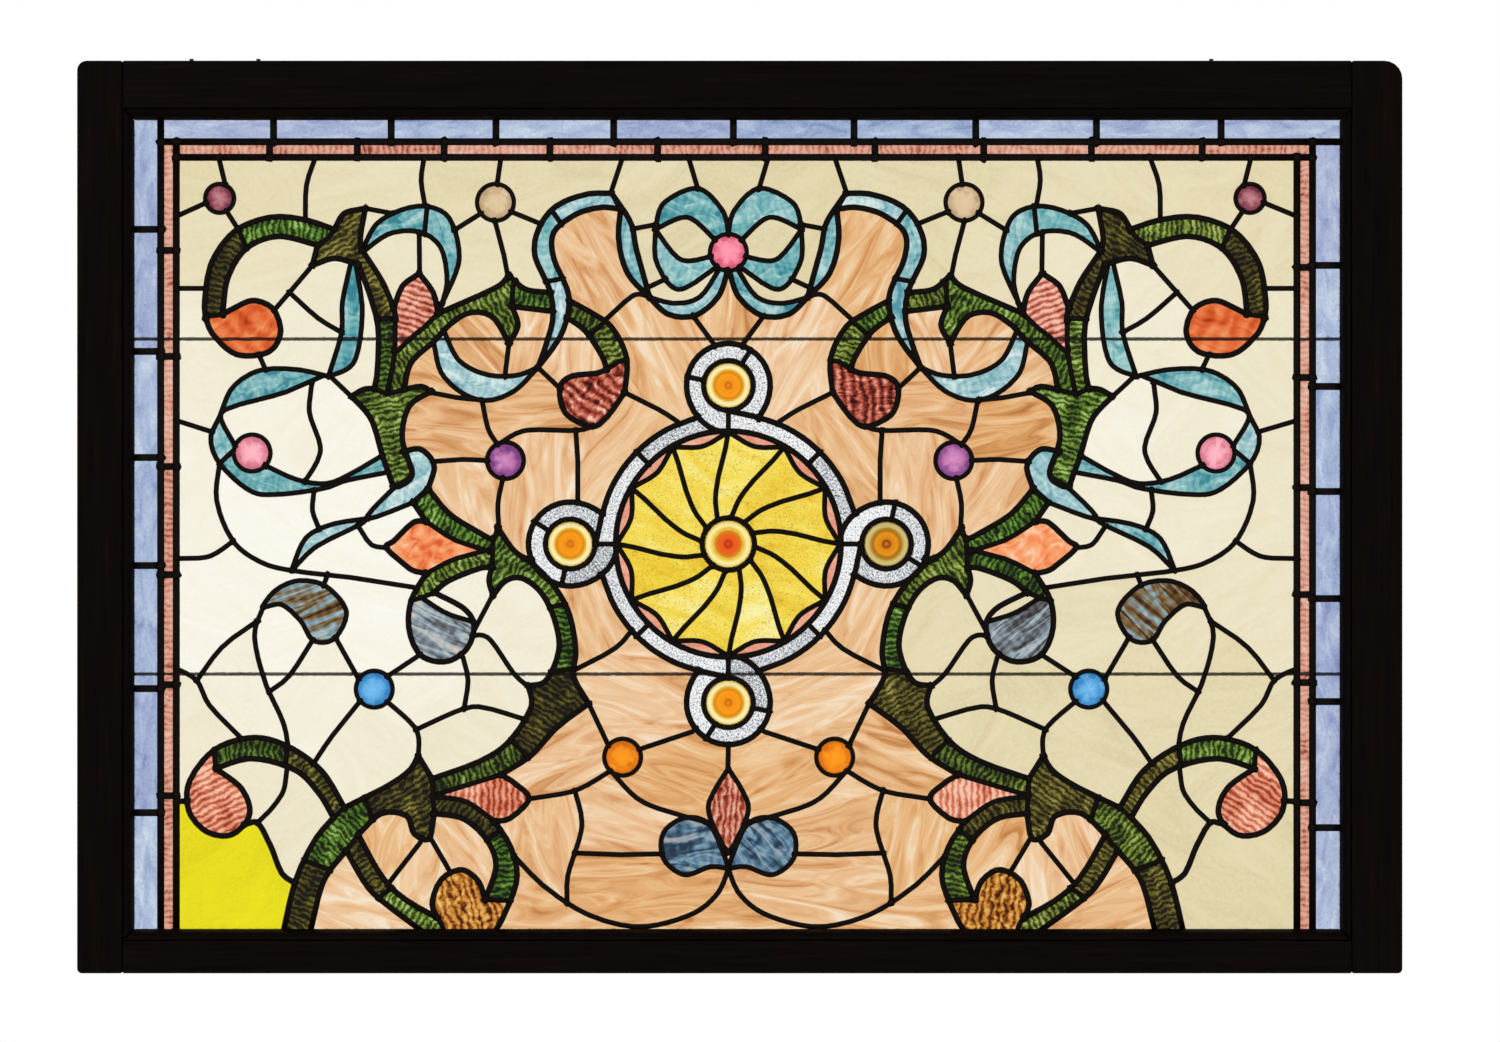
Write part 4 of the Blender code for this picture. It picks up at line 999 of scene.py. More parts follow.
def close_gaps(cames):
    """Runs each line's end on to the nearest other line, as every lead is cut to meet the next."""
    boxes = []
    for came in cames:
        xs = [place.x for place in came.path]
        zs = [place.y for place in came.path]
        boxes.append((
            min(xs) - JOINT_REACH, max(xs) + JOINT_REACH, min(zs) - JOINT_REACH, max(zs) + JOINT_REACH))
    ends = []
    for index, came in enumerate(cames):
        if came.closed:
            continue
        for at_start in (True, False):
            place = came.path[0] if at_start else came.path[-1]
            best = None
            for other_index, other in enumerate(cames):
                left, right, low, high = boxes[other_index]
                if other_index == index or not (left < place.x < right and low < place.y < high):
                    continue
                count = len(other.path)
                for run in range(count if other.closed else count - 1):
                    point = nearest_on(place, other.path[run], other.path[(run + 1) % count])
                    gap = (point - place).length
                    if gap < JOINT_REACH and (best is None or gap < best[0]):
                        best = (gap, point)
            if best and best[0] > CLOSED_JOINT:
                ends.append((came, at_start, best[1]))
    for came, at_start, point in ends:
        end, before = (came.path[0], came.path[1]) if at_start else (came.path[-1], came.path[-2])
        short = (point - end).length < came.width / 2
        if short or (point - end).angle(end - before) > math.radians(STEEPEST_TURN_DEG):
            came.path[0 if at_start else -1] = point
        else:
            came.path.insert(0 if at_start else len(came.path), point)
    return cames


def stations(came, half):
    """For each point of a came: the point, its side direction and how far a mitre widens it.

    An open came's ends run on by a share of its half width, so that its joints have no gap.
    """
    count = len(came.path)
    rows = []
    for index in range(count):
        before = came.path[index - 1] if came.closed or index else None
        after = came.path[(index + 1) % count] if came.closed or index < count - 1 else None
        into = (came.path[index] - before).normalized() if before is not None else None
        out = (after - came.path[index]).normalized() if after is not None else None
        along = ((into or out) + (out or into)).normalized()
        side = Vector((-along.y, along.x))
        reference = out or into
        widening = 1 / max(SHARPEST_MITRE, abs(side.dot(Vector((-reference.y, reference.x)))))
        rows.append((came.path[index], side, widening))
    if not came.closed:
        for end, before in ((0, 1), (-1, -2)):
            place, side, widening = rows[end]
            run_on = (came.path[end] - came.path[before]).normalized() * half * END_REACH
            rows[end] = (place + run_on, side, widening)
    return rows


def twisted(corners):
    """Whether four corners, which should run anticlockwise, cross over in a tight bend."""
    for index in range(4):
        a, b, c = (corners[(index + offset) % 4] for offset in range(3))
        if (b.x - a.x) * (c.y - b.y) - (b.y - a.y) * (c.x - b.x) <= 0:
            return True
    return False


def plain_strip(start, end, half):
    """A straight strip from start to end, without mitres, in millimetres."""
    along = (end - start).normalized() * half
    side = Vector((-along.y, along.x))
    start, end = start - along / 2, end + along / 2
    return [corner * MILLIMETRES for corner in (start + side, start - side, end - side, end + side)]


def came_quads(cames, shrink):
    """Every came as flat quadrilaterals in millimetres, narrowed by shrink on each side."""
    points, quads = [], []
    for came in cames:
        half = came.width / 2 - shrink
        rows = stations(came, half)
        base, count = len(points), len(rows)
        points += [(place + side * half * wide) * MILLIMETRES for place, side, wide in rows]
        points += [(place - side * half * wide) * MILLIMETRES for place, side, wide in rows]
        for index in range(count if came.closed else count - 1):
            follow = (index + 1) % count
            quad = [base + index, base + count + index, base + count + follow, base + follow]
            if twisted([points[corner] for corner in quad]):
                quad = list(range(len(points), len(points) + 4))
                points += plain_strip(came.path[index], came.path[follow], half)
            quads.append(quad)
    return points, quads


def find_cells(cames):
    """The gaps between the cames, each as its triangles, and the points that they share."""
    points, quads = came_quads(cames, TUCK)
    points, _, faces, _, _, sources = delaunay_2d_cdt(points, [], quads, 0, MERGE_MILLIMETRES, True)
    sides = {}
    for triangle, ring in enumerate(faces):
        for start, end in zip(ring, ring[1:] + ring[:1]):
            sides[start, end] = triangle
    seen, cells = set(), []
    for first in range(len(faces)):
        if sources[first] or first in seen:
            continue
        cell, waiting, open_sided = [], [first], False
        seen.add(first)
        while waiting:
            triangle = waiting.pop()
            cell.append(triangle)
            ring = faces[triangle]
            for start, end in zip(ring, ring[1:] + ring[:1]):
                other = sides.get((end, start))
                if other is None:
                    open_sided = True
                elif not sources[other] and other not in seen:
                    seen.add(other)
                    waiting.append(other)
        if not open_sided:
            cells.append([faces[triangle] for triangle in cell])
    return [point / MILLIMETRES for point in points], cells


def cross(a, b, c):
    """Twice the area of a triangle, above nothing where it runs anticlockwise."""
    return (b.x - a.x) * (c.y - a.y) - (b.y - a.y) * (c.x - a.x)


def triangle_area(points, ring):
    return cross(*(points[index] for index in ring)) / 2


def holds(points, ring, place):
    """Whether a triangle, which runs anticlockwise, holds a place."""
    return all(cross(points[start], points[end], place) >= 0 for start, end in zip(ring, ring[1:] + ring[:1]))


def region_of(place):
    """The name of the CAD pane behind a place, or None."""
    for name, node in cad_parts.items():
        if not name.startswith(tuple(REGION_GLASS)):
            continue
        hit, _, _, _ = node.ray_cast(Vector((place.x, -1.0, place.y)), Vector((0.0, 1.0, 0.0)))
        if hit:
            return name
    return None


def glass_of(points, cell):
    """Which glass a cell is cut from, or None where a jewel or a rondel fills it."""
    for _, jewel_px, _ in jewel_places():
        if any(holds(points, ring, to_real(jewel_px)) for ring in cell):
            return None
    for glass, seeds in PANE_SEEDS.items():
        for seed in seeds:
            for place in (to_real(seed), to_real(mirror_point(seed))):
                if any(holds(points, ring, place) for ring in cell):
                    return glass
    largest = sorted(cell, key=lambda ring: -triangle_area(points, ring))
    for ring in largest[:6]:
        middle = (points[ring[0]] + points[ring[1]] + points[ring[2]]) / 3
        region = region_of(middle)
        if region:
            for start, glass in REGION_GLASS.items():
                if region.startswith(start):
                    return glass
    middle = points[largest[0][0]]
    in_field = FIELD_LEFT < middle.x < FIELD_RIGHT and middle.y < FIELD_TOP
    return "cream_field" if in_field else "pink_border"


def finish_piece(name, work, material, nodes=()):
    """Makes a bmesh a piece of the panel that rides on it."""
    mesh = bpy.data.meshes.new(name)
    work.to_mesh(mesh)
    work.free()
    mesh.materials.append(material)
    piece = bpy.data.objects.new(name, mesh)
    bpy.context.scene.collection.objects.link(piece)
    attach(piece, "root")
    if nodes:
        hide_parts(*nodes)
    return piece


def middle_of(points, cell):
    """Where the middle of a cell lies."""
    return sum((points[index] for ring in cell for index in ring), Vector((0.0, 0.0))) / (3 * len(cell))


def long_axis(points, indices, middle):
    """The angle that a pane's longer way makes with the level."""
    offsets = [points[index] - middle for index in indices]
    xx = sum(offset.x ** 2 for offset in offsets)
    zz = sum(offset.y ** 2 for offset in offsets)
    xz = sum(offset.x * offset.y for offset in offsets)
    return 0.5 * math.atan2(2 * xz, xx - zz)


def pane_batch(points, cell, middle, glass, dice):
    """How far a pane takes the tones of the other batch of its glass, and how light it is; cream panes follow
    painted light.
    """
    paleness, lightness = dice.random(), dice.uniform(0.25, 0.75)
    if glass == "cream_field":
        # Most of a cream pane's tone follows the painted pools of light, and the rest is its own
        nearness = max(
            strength - (middle - to_real(light_pool)).length / LIGHT_POOL_REACH for light_pool, strength in PAINTED_LIGHT_POOLS_PX)
        paleness = max(0.0, min(1.0, nearness)) * 0.85 + paleness * 0.15
        lightness = max(0.2, min(0.85, 0.3 + 0.6 * nearness)) + lightness * 0.1
    elif glass in ("turquoise", "green_vine"):
        paleness = paleness * paleness
    if any(holds(points, ring, to_real(seed)) for seed in PALE_PANES for ring in cell):
        return MILKIEST
    return paleness, lightness


def cut_pane(work, points, cell, front, back, glass, dice):
    """One pane: the cell's outline as a plate, with its place on the sheet it was cut from."""
    sheet = work.loops.layers.uv["sheet"]
    batch = work.loops.layers.uv["batch"]
    made = {}
    faces = []
    for ring in cell:
        for index in ring:
            if index not in made:
                made[index] = work.verts.new((points[index].x, front, points[index].y))
        faces.append(work.faces.new([made[index] for index in ring]))
    grown = bmesh.ops.extrude_face_region(work, geom=faces)["geom"]
    moved = [item for item in grown if isinstance(item, bmesh.types.BMVert)]
    bmesh.ops.translate(work, verts=moved, vec=(0.0, back - front, 0.0))
    middle = middle_of(points, cell)
    angle = dice.uniform(-0.9, 0.9) if glass not in ALONG_THE_PANE else long_axis(points, made, middle)
    pane_tones = pane_batch(points, cell, middle, glass, dice)
    shift = Vector((dice.uniform(0, 5), dice.uniform(0, 5)))
    turned = Matrix.Rotation(-angle, 2)
    touched = {face for vert in moved + list(made.values()) if vert.is_valid for face in vert.link_faces}
    for face in touched:
        for loop in face.loops:
            loop[sheet].uv = turned @ (Vector((loop.vert.co.x, loop.vert.co.z)) - middle) + shift
            loop[batch].uv = pane_tones


def came_profile(width, depth):
    """The came's outline: flat flanks and a domed face in front and behind."""
    half, deep = width / 2, depth / 2
    quarter = [(half, 0.55), (half * 0.86, 0.84), (half * 0.5, 0.97), (0.0, 1.0)]
    right = [(x, -share * deep) for x, share in quarter]
    left = [(-x, y) for x, y in reversed(right[:-1])]
    front = right + left
    return front + [(x, -y) for x, y in reversed(front)]


def lay_came(work, came, depth):
    """Draws the came's profile along its path, with mitred bends and closed ends."""
    profile = came_profile(came.width, depth)
    loops = []
    edges = []
    for place, side, widening in stations(came, came.width / 2):
        loop = [
            work.verts.new((
                place.x + side.x * x * widening, PANEL_MIDDLE + y, place.y + side.y * x * widening))
            for x, y in profile
        ]
        loops.append(loop)
    for loop in loops:
        edges.append([work.edges.new((loop[i], loop[(i + 1) % len(loop)])) for i in range(len(loop))])
    for index in range(len(loops) if came.closed else len(loops) - 1):
        bmesh.ops.bridge_loops(work, edges=edges[index] + edges[(index + 1) % len(loops)])
    if not came.closed:
        work.faces.new(loops[0])
        work.faces.new(list(reversed(loops[-1])))


# The dull finishes: the spacing of the grain in metres along x, y and z, its noise, its tones from dark
# to pale, the strength of its relief and the shader's own values
WOOD = (
    {"Detail": 6.0, "Roughness": 0.65, "Distortion": 0.4},
    [(0.3, "#020000"), (0.55, "#080301"), (0.8, "#160904")], 0.2,
    {"Roughness": 0.45, "Specular IOR Level": 0.035},
)
AGED_SURFACES = {
    # Milled lead under old patina: dull and near black, with paler rubbed crowns
    "patinated_lead": (
        (0.004, 0.004, 0.004), {"Detail": 4.0, "Roughness": 0.6},
        [(0.3, "#060302"), (0.6, "#0E0906"), (0.85, "#1E1610")], 0.3,
        {"Roughness": 0.5, "Specular IOR Level": 0.06},
    ),
    # Old mahogany, planed and stained nearly black: a worn satin polish, the grain along each piece
    "stained_mahogany_upright": ((0.004, 0.004, 0.09), *WOOD),
    "stained_mahogany_level": ((0.09, 0.004, 0.004), *WOOD),
    # Drawn iron of the bars and cut nails: dull and lightly rusted
    "drawn_iron": (
        (0.003, 0.003, 0.003), {"Detail": 4.0},
        [(0.35, "#14110F"), (0.6, "#241D18"), (0.8, "#3A2A20")], 0.0,
        {"Roughness": 0.6, "Metallic": 0.3},
    ),
}


def aged_surface(name):
    """One of the dull finishes, made once."""
    if name in bpy.data.materials:
        return bpy.data.materials[name]
    spacing, noise, tones, relief, values = AGED_SURFACES[name]
    material, tree, shader = new_surface(name)
    place = add_node(tree, "ShaderNodeTexCoord")
    stretched = add_node(
        tree, "ShaderNodeMapping", inputs={"Scale": [1 / size for size in spacing]},
        links={"Vector": place.outputs["Object"]})
    grain = add_node(
        tree, "ShaderNodeTexNoise", inputs={"Scale": 1.0, **noise},
        links={"Vector": stretched.outputs["Vector"]})
    ramp = add_node(tree, "ShaderNodeValToRGB", links={"Fac": grain.outputs["Fac"]})
    ramp_colours(ramp, tones)
    fill_in(tree, shader, values, {"Base Color": ramp.outputs["Color"]})
    if relief:
        bump = add_node(
            tree, "ShaderNodeBump", inputs={"Strength": relief, "Distance": 0.0004},
            links={"Height": grain.outputs["Fac"]})
        fill_in(tree, shader, links={"Normal": bump.outputs["Normal"]})
    return material


def ease_edges(name, wood, settings):
    """A sash piece as the CAD has it, with its sharp edges worn round."""
    work = bmesh.new()
    work.from_mesh(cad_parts[name].data)
    bmesh.ops.remove_doubles(work, verts=work.verts, dist=MERGE_GAP)
    bmesh.ops.dissolve_limit(
        work, angle_limit=math.radians(1), verts=work.verts, edges=work.edges, use_dissolve_boundaries=False)
    sharp = [
        edge for edge in work.edges
        if len(edge.link_faces) == 2 and edge.calc_face_angle() > math.radians(SHARP_DEG)]
    width = settings.bead_wear if name.startswith("bead") else settings.sash_wear
    bmesh.ops.bevel(
        work, geom=sharp, offset=width, offset_type="OFFSET", affect="EDGES", segments=2, profile=0.5,
        material=-1, clamp_overlap=True)
    return finish_piece("worn_" + name, work, wood, [name])


def pressed_glass(name, tones):
    """Pressed jewel glass: clear, its tones and painted shade laid from the middle to the rim, a little
    uneven.

    The sheet map holds the share of the radius and, for a faceted jewel, each facet's own painted shade.
    """
    material, tree, shader = new_surface(name)
    sheet = add_node(tree, "ShaderNodeUVMap", {"uv_map": "sheet"})
    parts = add_node(tree, "ShaderNodeSeparateXYZ", links={"Vector": sheet.outputs["UV"]})
    place = add_node(tree, "ShaderNodeTexCoord")
    cloud = add_node(
        tree, "ShaderNodeTexNoise", inputs={"Scale": 1 / 0.004, "Detail": 2.0},
        links={"Vector": place.outputs["Object"]})
    wobble = add_node(
        tree, "ShaderNodeMath", {"operation": "MULTIPLY_ADD"}, {1: 0.05, 2: -0.025},
        {0: cloud.outputs["Fac"]})
    reach = add_node(
        tree, "ShaderNodeMath", {"operation": "ADD"},
        links={0: parts.outputs["X"], 1: wobble.outputs["Value"]})
    # Each facet's painted shade moves it along the ramp
    facet = add_node(
        tree, "ShaderNodeMath", {"operation": "ADD"},
        links={0: reach.outputs["Value"], 1: parts.outputs["Y"]})
    ramp = add_node(tree, "ShaderNodeValToRGB", links={"Fac": facet.outputs["Value"]})
    ramp_colours(ramp, tones)
    lit_glass(tree, shader, 0.06, 0.15, {"Base Color": ramp.outputs["Color"]})
    return material


# Tones of the pressed glass, from the middle to the rim, by the share of the radius. Each jewel darkens
# towards its rim in painted shade. The rondels are deep amber in the dish and pale on the raised edge,
# with painted shade in dark rings round the pip and in the crease round the dish, and a painted
# highlight in the near white ring on the raised edge.
JEWEL_TONES = {
    "jewel_plum": [(0.0, "#CC868C"), (0.5, "#B06A74"), (0.92, "#743246")],
    "jewel_cream": [(0.0, "#E4CAA4"), (0.6, "#E0C49C"), (0.92, "#BCA07A")],
    "jewel_violet": [(0.0, "#DC94C4"), (0.55, "#BC70AC"), (0.92, "#783C7C")],
    "jewel_pink": [(0.0, "#FFC0CC"), (0.6, "#FCA8B6"), (0.92, "#D47488")],
    "jewel_blue": [(0.0, "#78C2F4"), (0.6, "#5EAAE2"), (0.92, "#3080C0")],
    "jewel_orange": [(0.0, "#FFA018"), (0.6, "#FC900A"), (0.92, "#D86C00")],
    "jewel_rose": [(0.0, "#FFA0B4"), (0.6, "#FF8EA6"), (0.92, "#DC5C7A")],
    "rondel": [
        (0.0, "#F08808"), (0.07, "#E47808"), (0.10, "#B85804"), (0.14, "#E07C04"), (0.2, "#F69404"),
        (0.5, "#FC9C06"), (0.575, "#E08A08"), (0.6, "#C88410"), (0.64, "#F4CE60"), (0.72, "#F8E084"),
        (0.8, "#FDF6CC"), (0.88, "#F8E490"), (0.97, "#F0CC50"),
    ],
    # The right rondel: the same amber glass in painted shade, browner and darker all through
    "rondel_right": [
        (0.0, "#D8780C"), (0.07, "#B85C04"), (0.11, "#6C2C02"), (0.16, "#A04C02"), (0.24, "#DC8404"),
        (0.48, "#E89408"), (0.56, "#C87C08"), (0.6, "#8C6010"), (0.66, "#B89840"), (0.76, "#D0B868"),
        (0.86, "#D8C888"), (0.97, "#A08038"),
    ],
    "rondel_centre": [
        (0.0, "#E05010"), (0.07, "#D04008"), (0.11, "#A82404"), (0.15, "#C83808"), (0.22, "#EC5C14"),
        (0.42, "#EC6010"), (0.5, "#E08010"), (0.54, "#C87C10"), (0.6, "#F4CC48"), (0.7, "#F9E070"),
        (0.8, "#FDF4B8"), (0.9, "#F8DC70"), (0.97, "#F0C430"),
    ],
}


def jewel_profile(radius, dome):
    """Radius and height of a pressed jewel, from its table down two rows of facets to its back."""
    crown = [(0.0, 1.0), (0.34, 0.94), (0.7, 0.66), (0.97, 0.1)]
    front = [(radius * reach, RIM + dome * height) for reach, height in crown]
    return front + [(radius, RIM * 0.5), (radius, -RIM), (0.0, -RIM)]


def rondel_profile(radius, dome):
    """Radius and height of a pressed rondel: pip, dished disc, raised edge, sloping rim."""
    steps = [(0.0, 0.95), (0.07, 0.92), (0.12, 0.70), (0.16, 0.45), (0.2, 0.38), (0.45, 0.5), (0.55, 0.72),
             (0.62, 0.74), (0.67, 0.45), (0.72, 0.22), (0.86, 0.16), (0.97, 0.02), (1.0, 0.0)]
    front = [(radius * reach, RIM + dome * height) for reach, height in steps]
    return front + [(radius, -RIM), (radius * 0.6, -RIM), (0.0, -RIM)]


def turn_profile(work, profile, place, segments, radius, facet_shade_dice=None):
    """Spins a profile about the line through place that faces the front.

    With dice it stays in flat facets, and each facet takes its own painted shade, lighter or darker at
    random, in the same order each time: round the jewel, and from the middle out.
    """
    sheet = work.loops.layers.uv["sheet"]
    verts = [work.verts.new((place.x + r, PANEL_MIDDLE - h, place.y)) for r, h in profile]
    edges = [work.edges.new((a, b)) for a, b in zip(verts, verts[1:])]
    bmesh.ops.spin(
        work, geom=verts + edges, cent=(place.x, PANEL_MIDDLE, place.y), axis=(0.0, 1.0, 0.0),
        angle=math.radians(360), steps=segments, use_merge=True)
    bmesh.ops.remove_doubles(work, verts=work.verts, dist=MERGE_GAP)
    bmesh.ops.recalc_face_normals(work, faces=work.faces)
    sector = math.tau / segments

    def facet_place(face):
        offset = face.calc_center_median() - Vector((place.x, PANEL_MIDDLE, place.y))
        return int(math.atan2(offset.z, offset.x) % math.tau // sector), Vector((offset.x, offset.z)).length

    for face in sorted(work.faces, key=facet_place):
        face.smooth = facet_shade_dice is None
        # Each facet's painted shade: how far its colour moves along the ramp
        depth = 0.0 if facet_shade_dice is None else facet_shade_dice.uniform(-FACET_SHADE_SPREAD, FACET_SHADE_SPREAD)
        for loop in face.loops:
            reach = Vector((loop.vert.co.x - place.x, loop.vert.co.z - place.y)).length
            loop[sheet].uv = (reach / radius, depth)


class GlazingSizes(PropertyGroup):
    border_came: FloatProperty(
        name="Border came", description="Width of the border's cames", default=0.0059, unit="LENGTH")
    outline_came: FloatProperty(
        name="Outline came", description="Width of the cames round the vines", default=0.0049, unit="LENGTH")
    field_came: FloatProperty(
        name="Field came", description="Width of the fine cames in the fields", default=0.0043, unit="LENGTH")
    ring_came: FloatProperty(
        name="Ring came", description="Width of the cames round the jewels", default=0.0038, unit="LENGTH")
    glass_depth: FloatProperty(
        name="Glass", description="Thickness of the panes", default=0.003, unit="LENGTH")
    solder: FloatProperty(
        name="Solder", description="How much wider than its came a soldered joint is", default=1.3)
    jewel_dome: FloatProperty(
        name="Jewel dome", description="How far a jewel stands out", default=0.0050, unit="LENGTH")
    rondel_dome: FloatProperty(
        name="Rondel dome", description="How far a rondel stands out", default=0.0045, unit="LENGTH")
    sash_wear: FloatProperty(
        name="Sash wear", description="How round the sash's edges are worn", default=0.0014, unit="LENGTH")
    bead_wear: FloatProperty(
        name="Bead wear", description="How round the beads' edges are worn", default=0.0006, unit="LENGTH")


class GlazingColours(PropertyGroup):
    floor: FloatVectorProperty(
        name="Floor", description="Colour of the studio floor", subtype="COLOR", size=3,
        default=hex_to_linear("#F4F3F0"))
    light: FloatVectorProperty(
        name="Light", description="Colour of the studio light", subtype="COLOR", size=3,
        default=hex_to_linear("#FFFFFF"))


class GLAZING_OT_sash(Operator):
    """Finish the sash and its glazing beads in dark stained wood"""
    bl_idname = "glazing.sash"
    bl_label = "Sash and beads"

    def execute(self, context):
        settings = context.scene.glazing_sizes
        upright = aged_surface("stained_mahogany_upright")
        level = aged_surface("stained_mahogany_level")
        for name in ("stile_left", "stile_right", "bead_left", "bead_right"):
            ease_edges(name, upright, settings)
        for name in ("rail_top", "rail_bottom", "bead_top", "bead_bottom"):
            ease_edges(name, level, settings)
        iron = aged_surface("drawn_iron")
        work = bmesh.new()
        for place in NAIL_PLACES_PX:
            stub = bmesh.ops.create_cone(
                work, cap_ends=True, segments=10, radius1=NAIL_RADIUS, radius2=NAIL_RADIUS * 0.8,
                depth=2 * NAIL_STANDS)
            bmesh.ops.translate(work, verts=stub["verts"], vec=(to_real((place, 0)).x, 0.0, SASH_HIGH.z))
        finish_piece("cut_nails", work, iron)
        return {"FINISHED"}


class GLAZING_OT_cames(Operator):
    """Lay every came along the cartoon"""
    bl_idname = "glazing.cames"
    bl_label = "Cames"

    def execute(self, context):
        settings = context.scene.glazing_sizes
        lead = aged_surface("patinated_lead")
        depth = NET_HIGH.y - NET_LOW.y
        families = {}
        for came in all_cames(settings):
            families.setdefault(came.family, []).append(came)
        for family, cames in families.items():
            whole = bmesh.new()
            for came in cames:
                work = bmesh.new()
                lay_came(work, came, depth)
                bmesh.ops.recalc_face_normals(work, faces=work.faces)
                mesh = bpy.data.meshes.new("strip")
                work.to_mesh(mesh)
                work.free()
                whole.from_mesh(mesh)
                bpy.data.meshes.remove(mesh)
            for face in whole.faces:
                face.smooth = True
            finish_piece("came_" + family, whole, lead, ["lead_matrix"])
        return {"FINISHED"}


class GLAZING_OT_solder(Operator):
    """Drop a flat bead of solder on every joint, in front and behind"""
    bl_idname = "glazing.solder"
    bl_label = "Soldered joints"

    def execute(self, context):
        settings = context.scene.glazing_sizes
        dice = random.Random(5)
        places = []
        for came in all_cames(settings):
            if came.closed:
                continue
            for place in (came.path[0], came.path[-1]):
                if all((place - other).length > SOLDER_APART for other, _ in places):
                    places.append((place, came.width))
        work = bmesh.new()
        crown = (NET_HIGH.y - NET_LOW.y) / 2
        for place, width in places:
            for side in (-1, 1):
                reach = width * settings.solder * dice.uniform(0.52, 0.62)
                turn = Matrix.Rotation(dice.uniform(0, math.pi), 4, "Y")
                shape = Matrix.Diagonal((reach * dice.uniform(1.0, 1.2), SOLDER_DEPTH, reach, 1.0))
                middle = Matrix.Translation((place.x, PANEL_MIDDLE + side * (crown - SOLDER_SUNK), place.y))
                bmesh.ops.create_icosphere(work, subdivisions=1, radius=1.0, matrix=middle @ turn @ shape)
        for face in work.faces:
            face.smooth = True
        finish_piece("solder_joints", work, aged_surface("patinated_lead"), ["lead_matrix"])
        return {"FINISHED"}


class GLAZING_OT_panes(Operator):
    """Cut every pane from its own glass and set it between the cames"""
    bl_idname = "glazing.panes"
    bl_label = "Panes"

    def execute(self, context):
        settings = context.scene.glazing_sizes
        points, cells = find_cells(all_cames(settings))
        jewels = [(to_real(place), radius) for _, place, radius in jewel_places()]
        sorted_cells = {}
        for cell in cells:
            area = sum(triangle_area(points, ring) for ring in cell)
            if area < SMALLEST_PANE:
                continue
            middle = middle_of(points, cell)
            if any((middle - place).length < JEWEL_OFF_CENTRE and area < JEWEL_GAP * radius * radius
                   for place, radius in jewels):
                continue
            glass = glass_of(points, cell)
            if glass == "amber_wheel":
                reach = (middle - to_real(WHEEL_PX)).length
                if reach > (to_real(polar(WHEEL_PX, PETAL_FROM_PX, 0)) - to_real(WHEEL_PX)).length:
                    glass = "pink_petal"
            if glass:
                sorted_cells.setdefault(glass, []).append(cell)
        front = PANEL_MIDDLE - settings.glass_depth / 2
        back = PANEL_MIDDLE + settings.glass_depth / 2
        dice = random.Random(11)
        for glass, group in sorted_cells.items():
            work = bmesh.new()
            work.loops.layers.uv.new("sheet")
            work.loops.layers.uv.new("batch")
            for cell in group:
                cut_pane(work, points, cell, front, back, glass, dice)
            bmesh.ops.recalc_face_normals(work, faces=work.faces)
            starts = tuple(start for start, common in REGION_GLASS.items() if common == glass)
            nodes = [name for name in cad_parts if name.startswith(starts)]
            material = art_glass(glass + "_glass", GLASS[glass])
            finish_piece(glass, work, material, nodes)
        return {"FINISHED"}


class GLAZING_OT_jewels(Operator):
    """Press the jewels and rondels and set them in their rings"""
    bl_idname = "glazing.jewels"
    bl_label = "Jewels and rondels"

    def execute(self, context):
        settings = context.scene.glazing_sizes
        dice = random.Random(11)
        made = {}
        for name, place, radius in jewel_places():
            tone = name if name in JEWEL_TONES else name.rsplit("_", 1)[0]
            if tone not in made:
                made[tone] = pressed_glass("pressed_" + tone, JEWEL_TONES[tone])
            work = bmesh.new()
            work.loops.layers.uv.new("sheet")
            if name.startswith("rondel"):
                profile = rondel_profile(radius, settings.rondel_dome)
                turn_profile(work, profile, to_real(place), RONDEL_STEPS, radius)
            else:
                corner = radius / math.cos(math.pi / JEWEL_FACETS)
                profile = jewel_profile(corner, settings.jewel_dome)
                turn_profile(work, profile, to_real(place), JEWEL_FACETS, radius, dice)
            finish_piece("pressed_" + name, work, made[tone], [name])
        return {"FINISHED"}


class GLAZING_OT_bars(Operator):
    """Finish the two saddle bars in dull iron"""
    bl_idname = "glazing.bars"
    bl_label = "Saddle bars"

    def execute(self, context):
        material = aged_surface("drawn_iron")
        for name in ("saddle_bar_upper", "saddle_bar_lower"):
            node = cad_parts[name]
            for slot in node.material_slots:
                slot.material = material
        return {"FINISHED"}


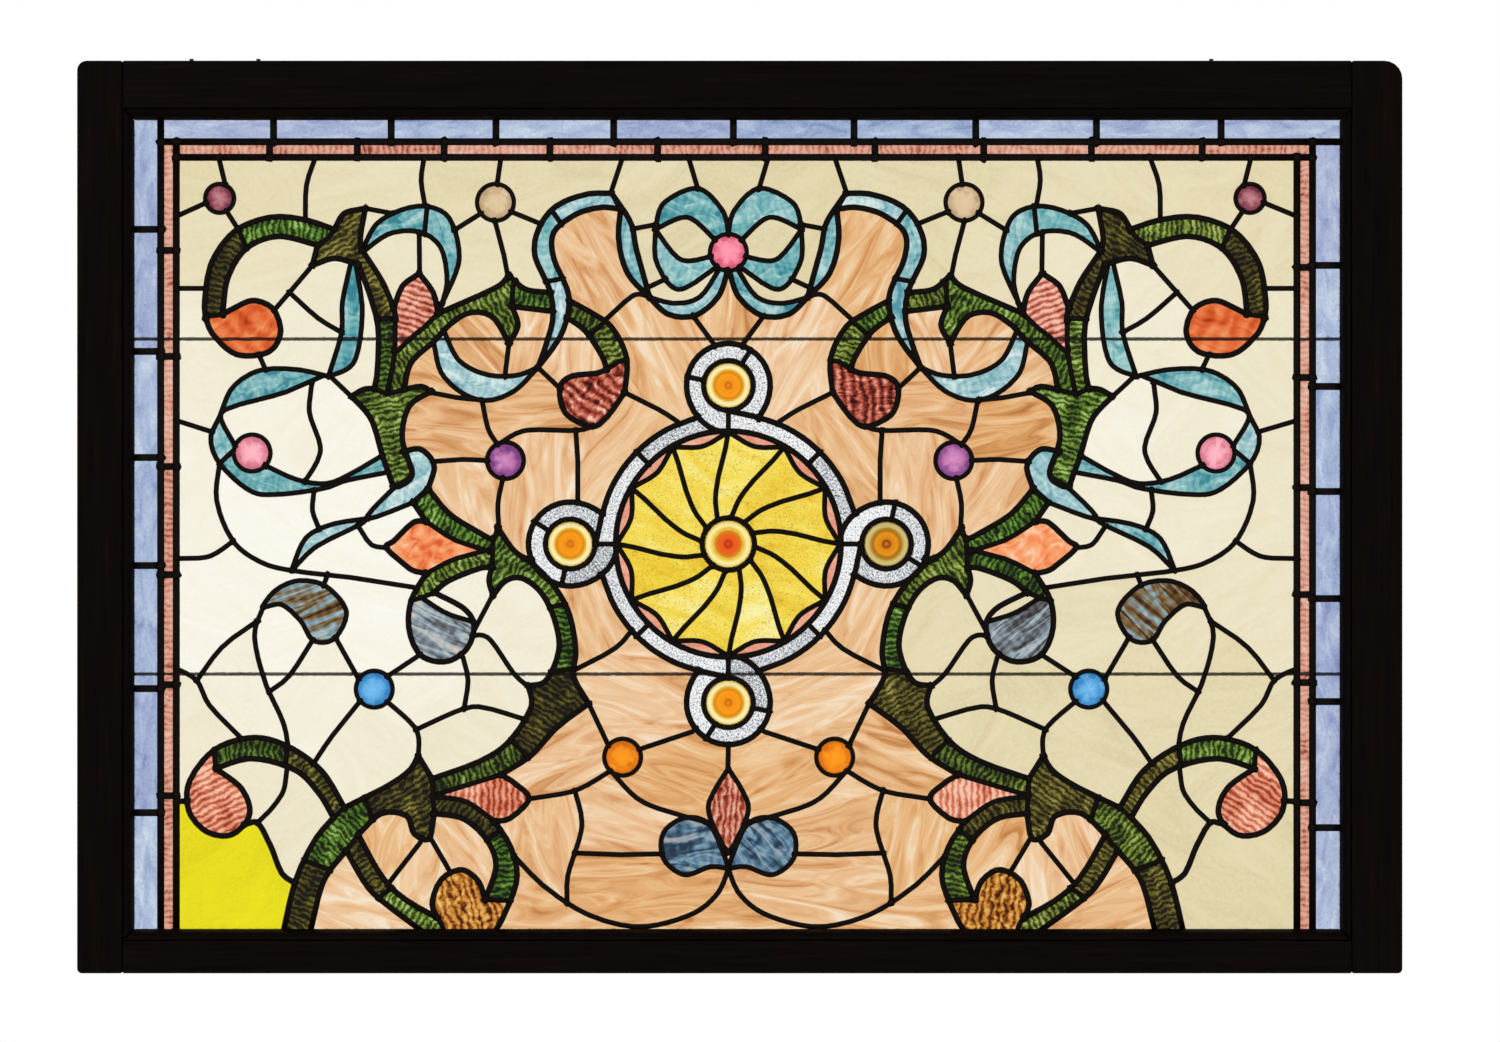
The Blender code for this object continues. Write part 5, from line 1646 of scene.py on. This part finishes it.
class GLAZING_OT_stage(Operator):
    """Set up the pale floor, the soft light and the camera"""
    bl_idname = "glazing.stage"
    bl_label = "Studio"

    def execute(self, context):
        colours = context.scene.glazing_colours
        world = bpy.data.worlds.new("white_room")
        context.scene.world = world
        world.use_nodes = True
        background = world.node_tree.nodes["Background"]
        background.inputs["Color"].default_value = (*colours.light, 1.0)
        background.inputs["Strength"].default_value = 1.0
        work = bmesh.new()
        bmesh.ops.create_grid(work, x_segments=1, y_segments=1, size=FLOOR_REACH)
        bmesh.ops.translate(work, verts=work.verts, vec=(0.0, 0.0, SASH_LOW.z - FLOOR_DROP))
        mesh = bpy.data.meshes.new("floor")
        work.to_mesh(mesh)
        work.free()
        floor = bpy.data.objects.new("floor", mesh)
        context.scene.collection.objects.link(floor)
        # Pale matt paint: an even floor without a sheen
        material, tree, shader = new_surface("pale_paint")
        fill_in(tree, shader, {"Base Color": (*colours.floor, 1.0), "Roughness": 0.8})
        mesh.materials.append(material)
        lamp_data = bpy.data.lights.new("soft_lamp", "AREA")
        lamp_data.energy = LAMP_POWER
        lamp_data.size = LAMP_SIZE
        lamp_data.color = colours.light
        lamp = bpy.data.objects.new("soft_lamp", lamp_data)
        lamp.location = LAMP_PLACE
        lamp.rotation_euler = [math.radians(degrees) for degrees in LAMP_TURN_DEG]
        context.scene.collection.objects.link(lamp)
        scale = (SASH_HIGH.x - SASH_LOW.x) / (SASH_RIGHT_PX - SASH_LEFT_PX)
        sash_px = ((SASH_LEFT_PX + SASH_RIGHT_PX) / 2, (SASH_TOP_PX + SASH_BOTTOM_PX) / 2)
        sash_middle = (SASH_LOW + SASH_HIGH) / 2
        context.scene.view_settings.view_transform = "Standard"
        camera_data = bpy.data.cameras.new("camera")
        camera_data.sensor_width = SENSOR_WIDTH
        camera_data.lens = SENSOR_WIDTH * CAMERA_DISTANCE / (PICTURE_WIDTH_PX * scale)
        camera = bpy.data.objects.new("camera", camera_data)
        camera.location = (
            sash_middle.x + (PICTURE_CENTRE_PX[0] - sash_px[0]) * scale,
            SASH_LOW.y - CAMERA_DISTANCE,
            sash_middle.z - (PICTURE_CENTRE_PX[1] - sash_px[1]) * scale,
        )
        camera.rotation_euler = (math.radians(90), 0.0, 0.0)
        context.scene.collection.objects.link(camera)
        context.scene.camera = camera
        return {"FINISHED"}


class GLAZING_PT_panel(Panel):
    bl_label = "Leaded glass panel"
    bl_idname = "GLAZING_PT_panel"
    bl_space_type = "VIEW_3D"
    bl_region_type = "UI"
    bl_category = "Glazing"

    def draw(self, context):
        for name in GlazingSizes.__annotations__:
            self.layout.prop(context.scene.glazing_sizes, name)
        for name in GlazingColours.__annotations__:
            self.layout.prop(context.scene.glazing_colours, name)
        for operator in OPERATORS:
            self.layout.operator(operator.bl_idname)


OPERATORS = (
    GLAZING_OT_sash, GLAZING_OT_cames, GLAZING_OT_solder, GLAZING_OT_panes, GLAZING_OT_jewels,
    GLAZING_OT_bars, GLAZING_OT_stage,
)
CLASSES = (GlazingSizes, GlazingColours, *OPERATORS, GLAZING_PT_panel)


def register():
    for item in CLASSES:
        bpy.utils.register_class(item)
    bpy.types.Scene.glazing_sizes = PointerProperty(type=GlazingSizes)
    bpy.types.Scene.glazing_colours = PointerProperty(type=GlazingColours)


def unregister():
    del bpy.types.Scene.glazing_colours
    del bpy.types.Scene.glazing_sizes
    for item in reversed(CLASSES):
        bpy.utils.unregister_class(item)


def main():
    register()
    bpy.ops.glazing.sash()
    bpy.ops.glazing.cames()
    bpy.ops.glazing.solder()
    bpy.ops.glazing.panes()
    bpy.ops.glazing.jewels()
    bpy.ops.glazing.bars()
    bpy.ops.glazing.stage()


if __name__ == "__main__":
    main()
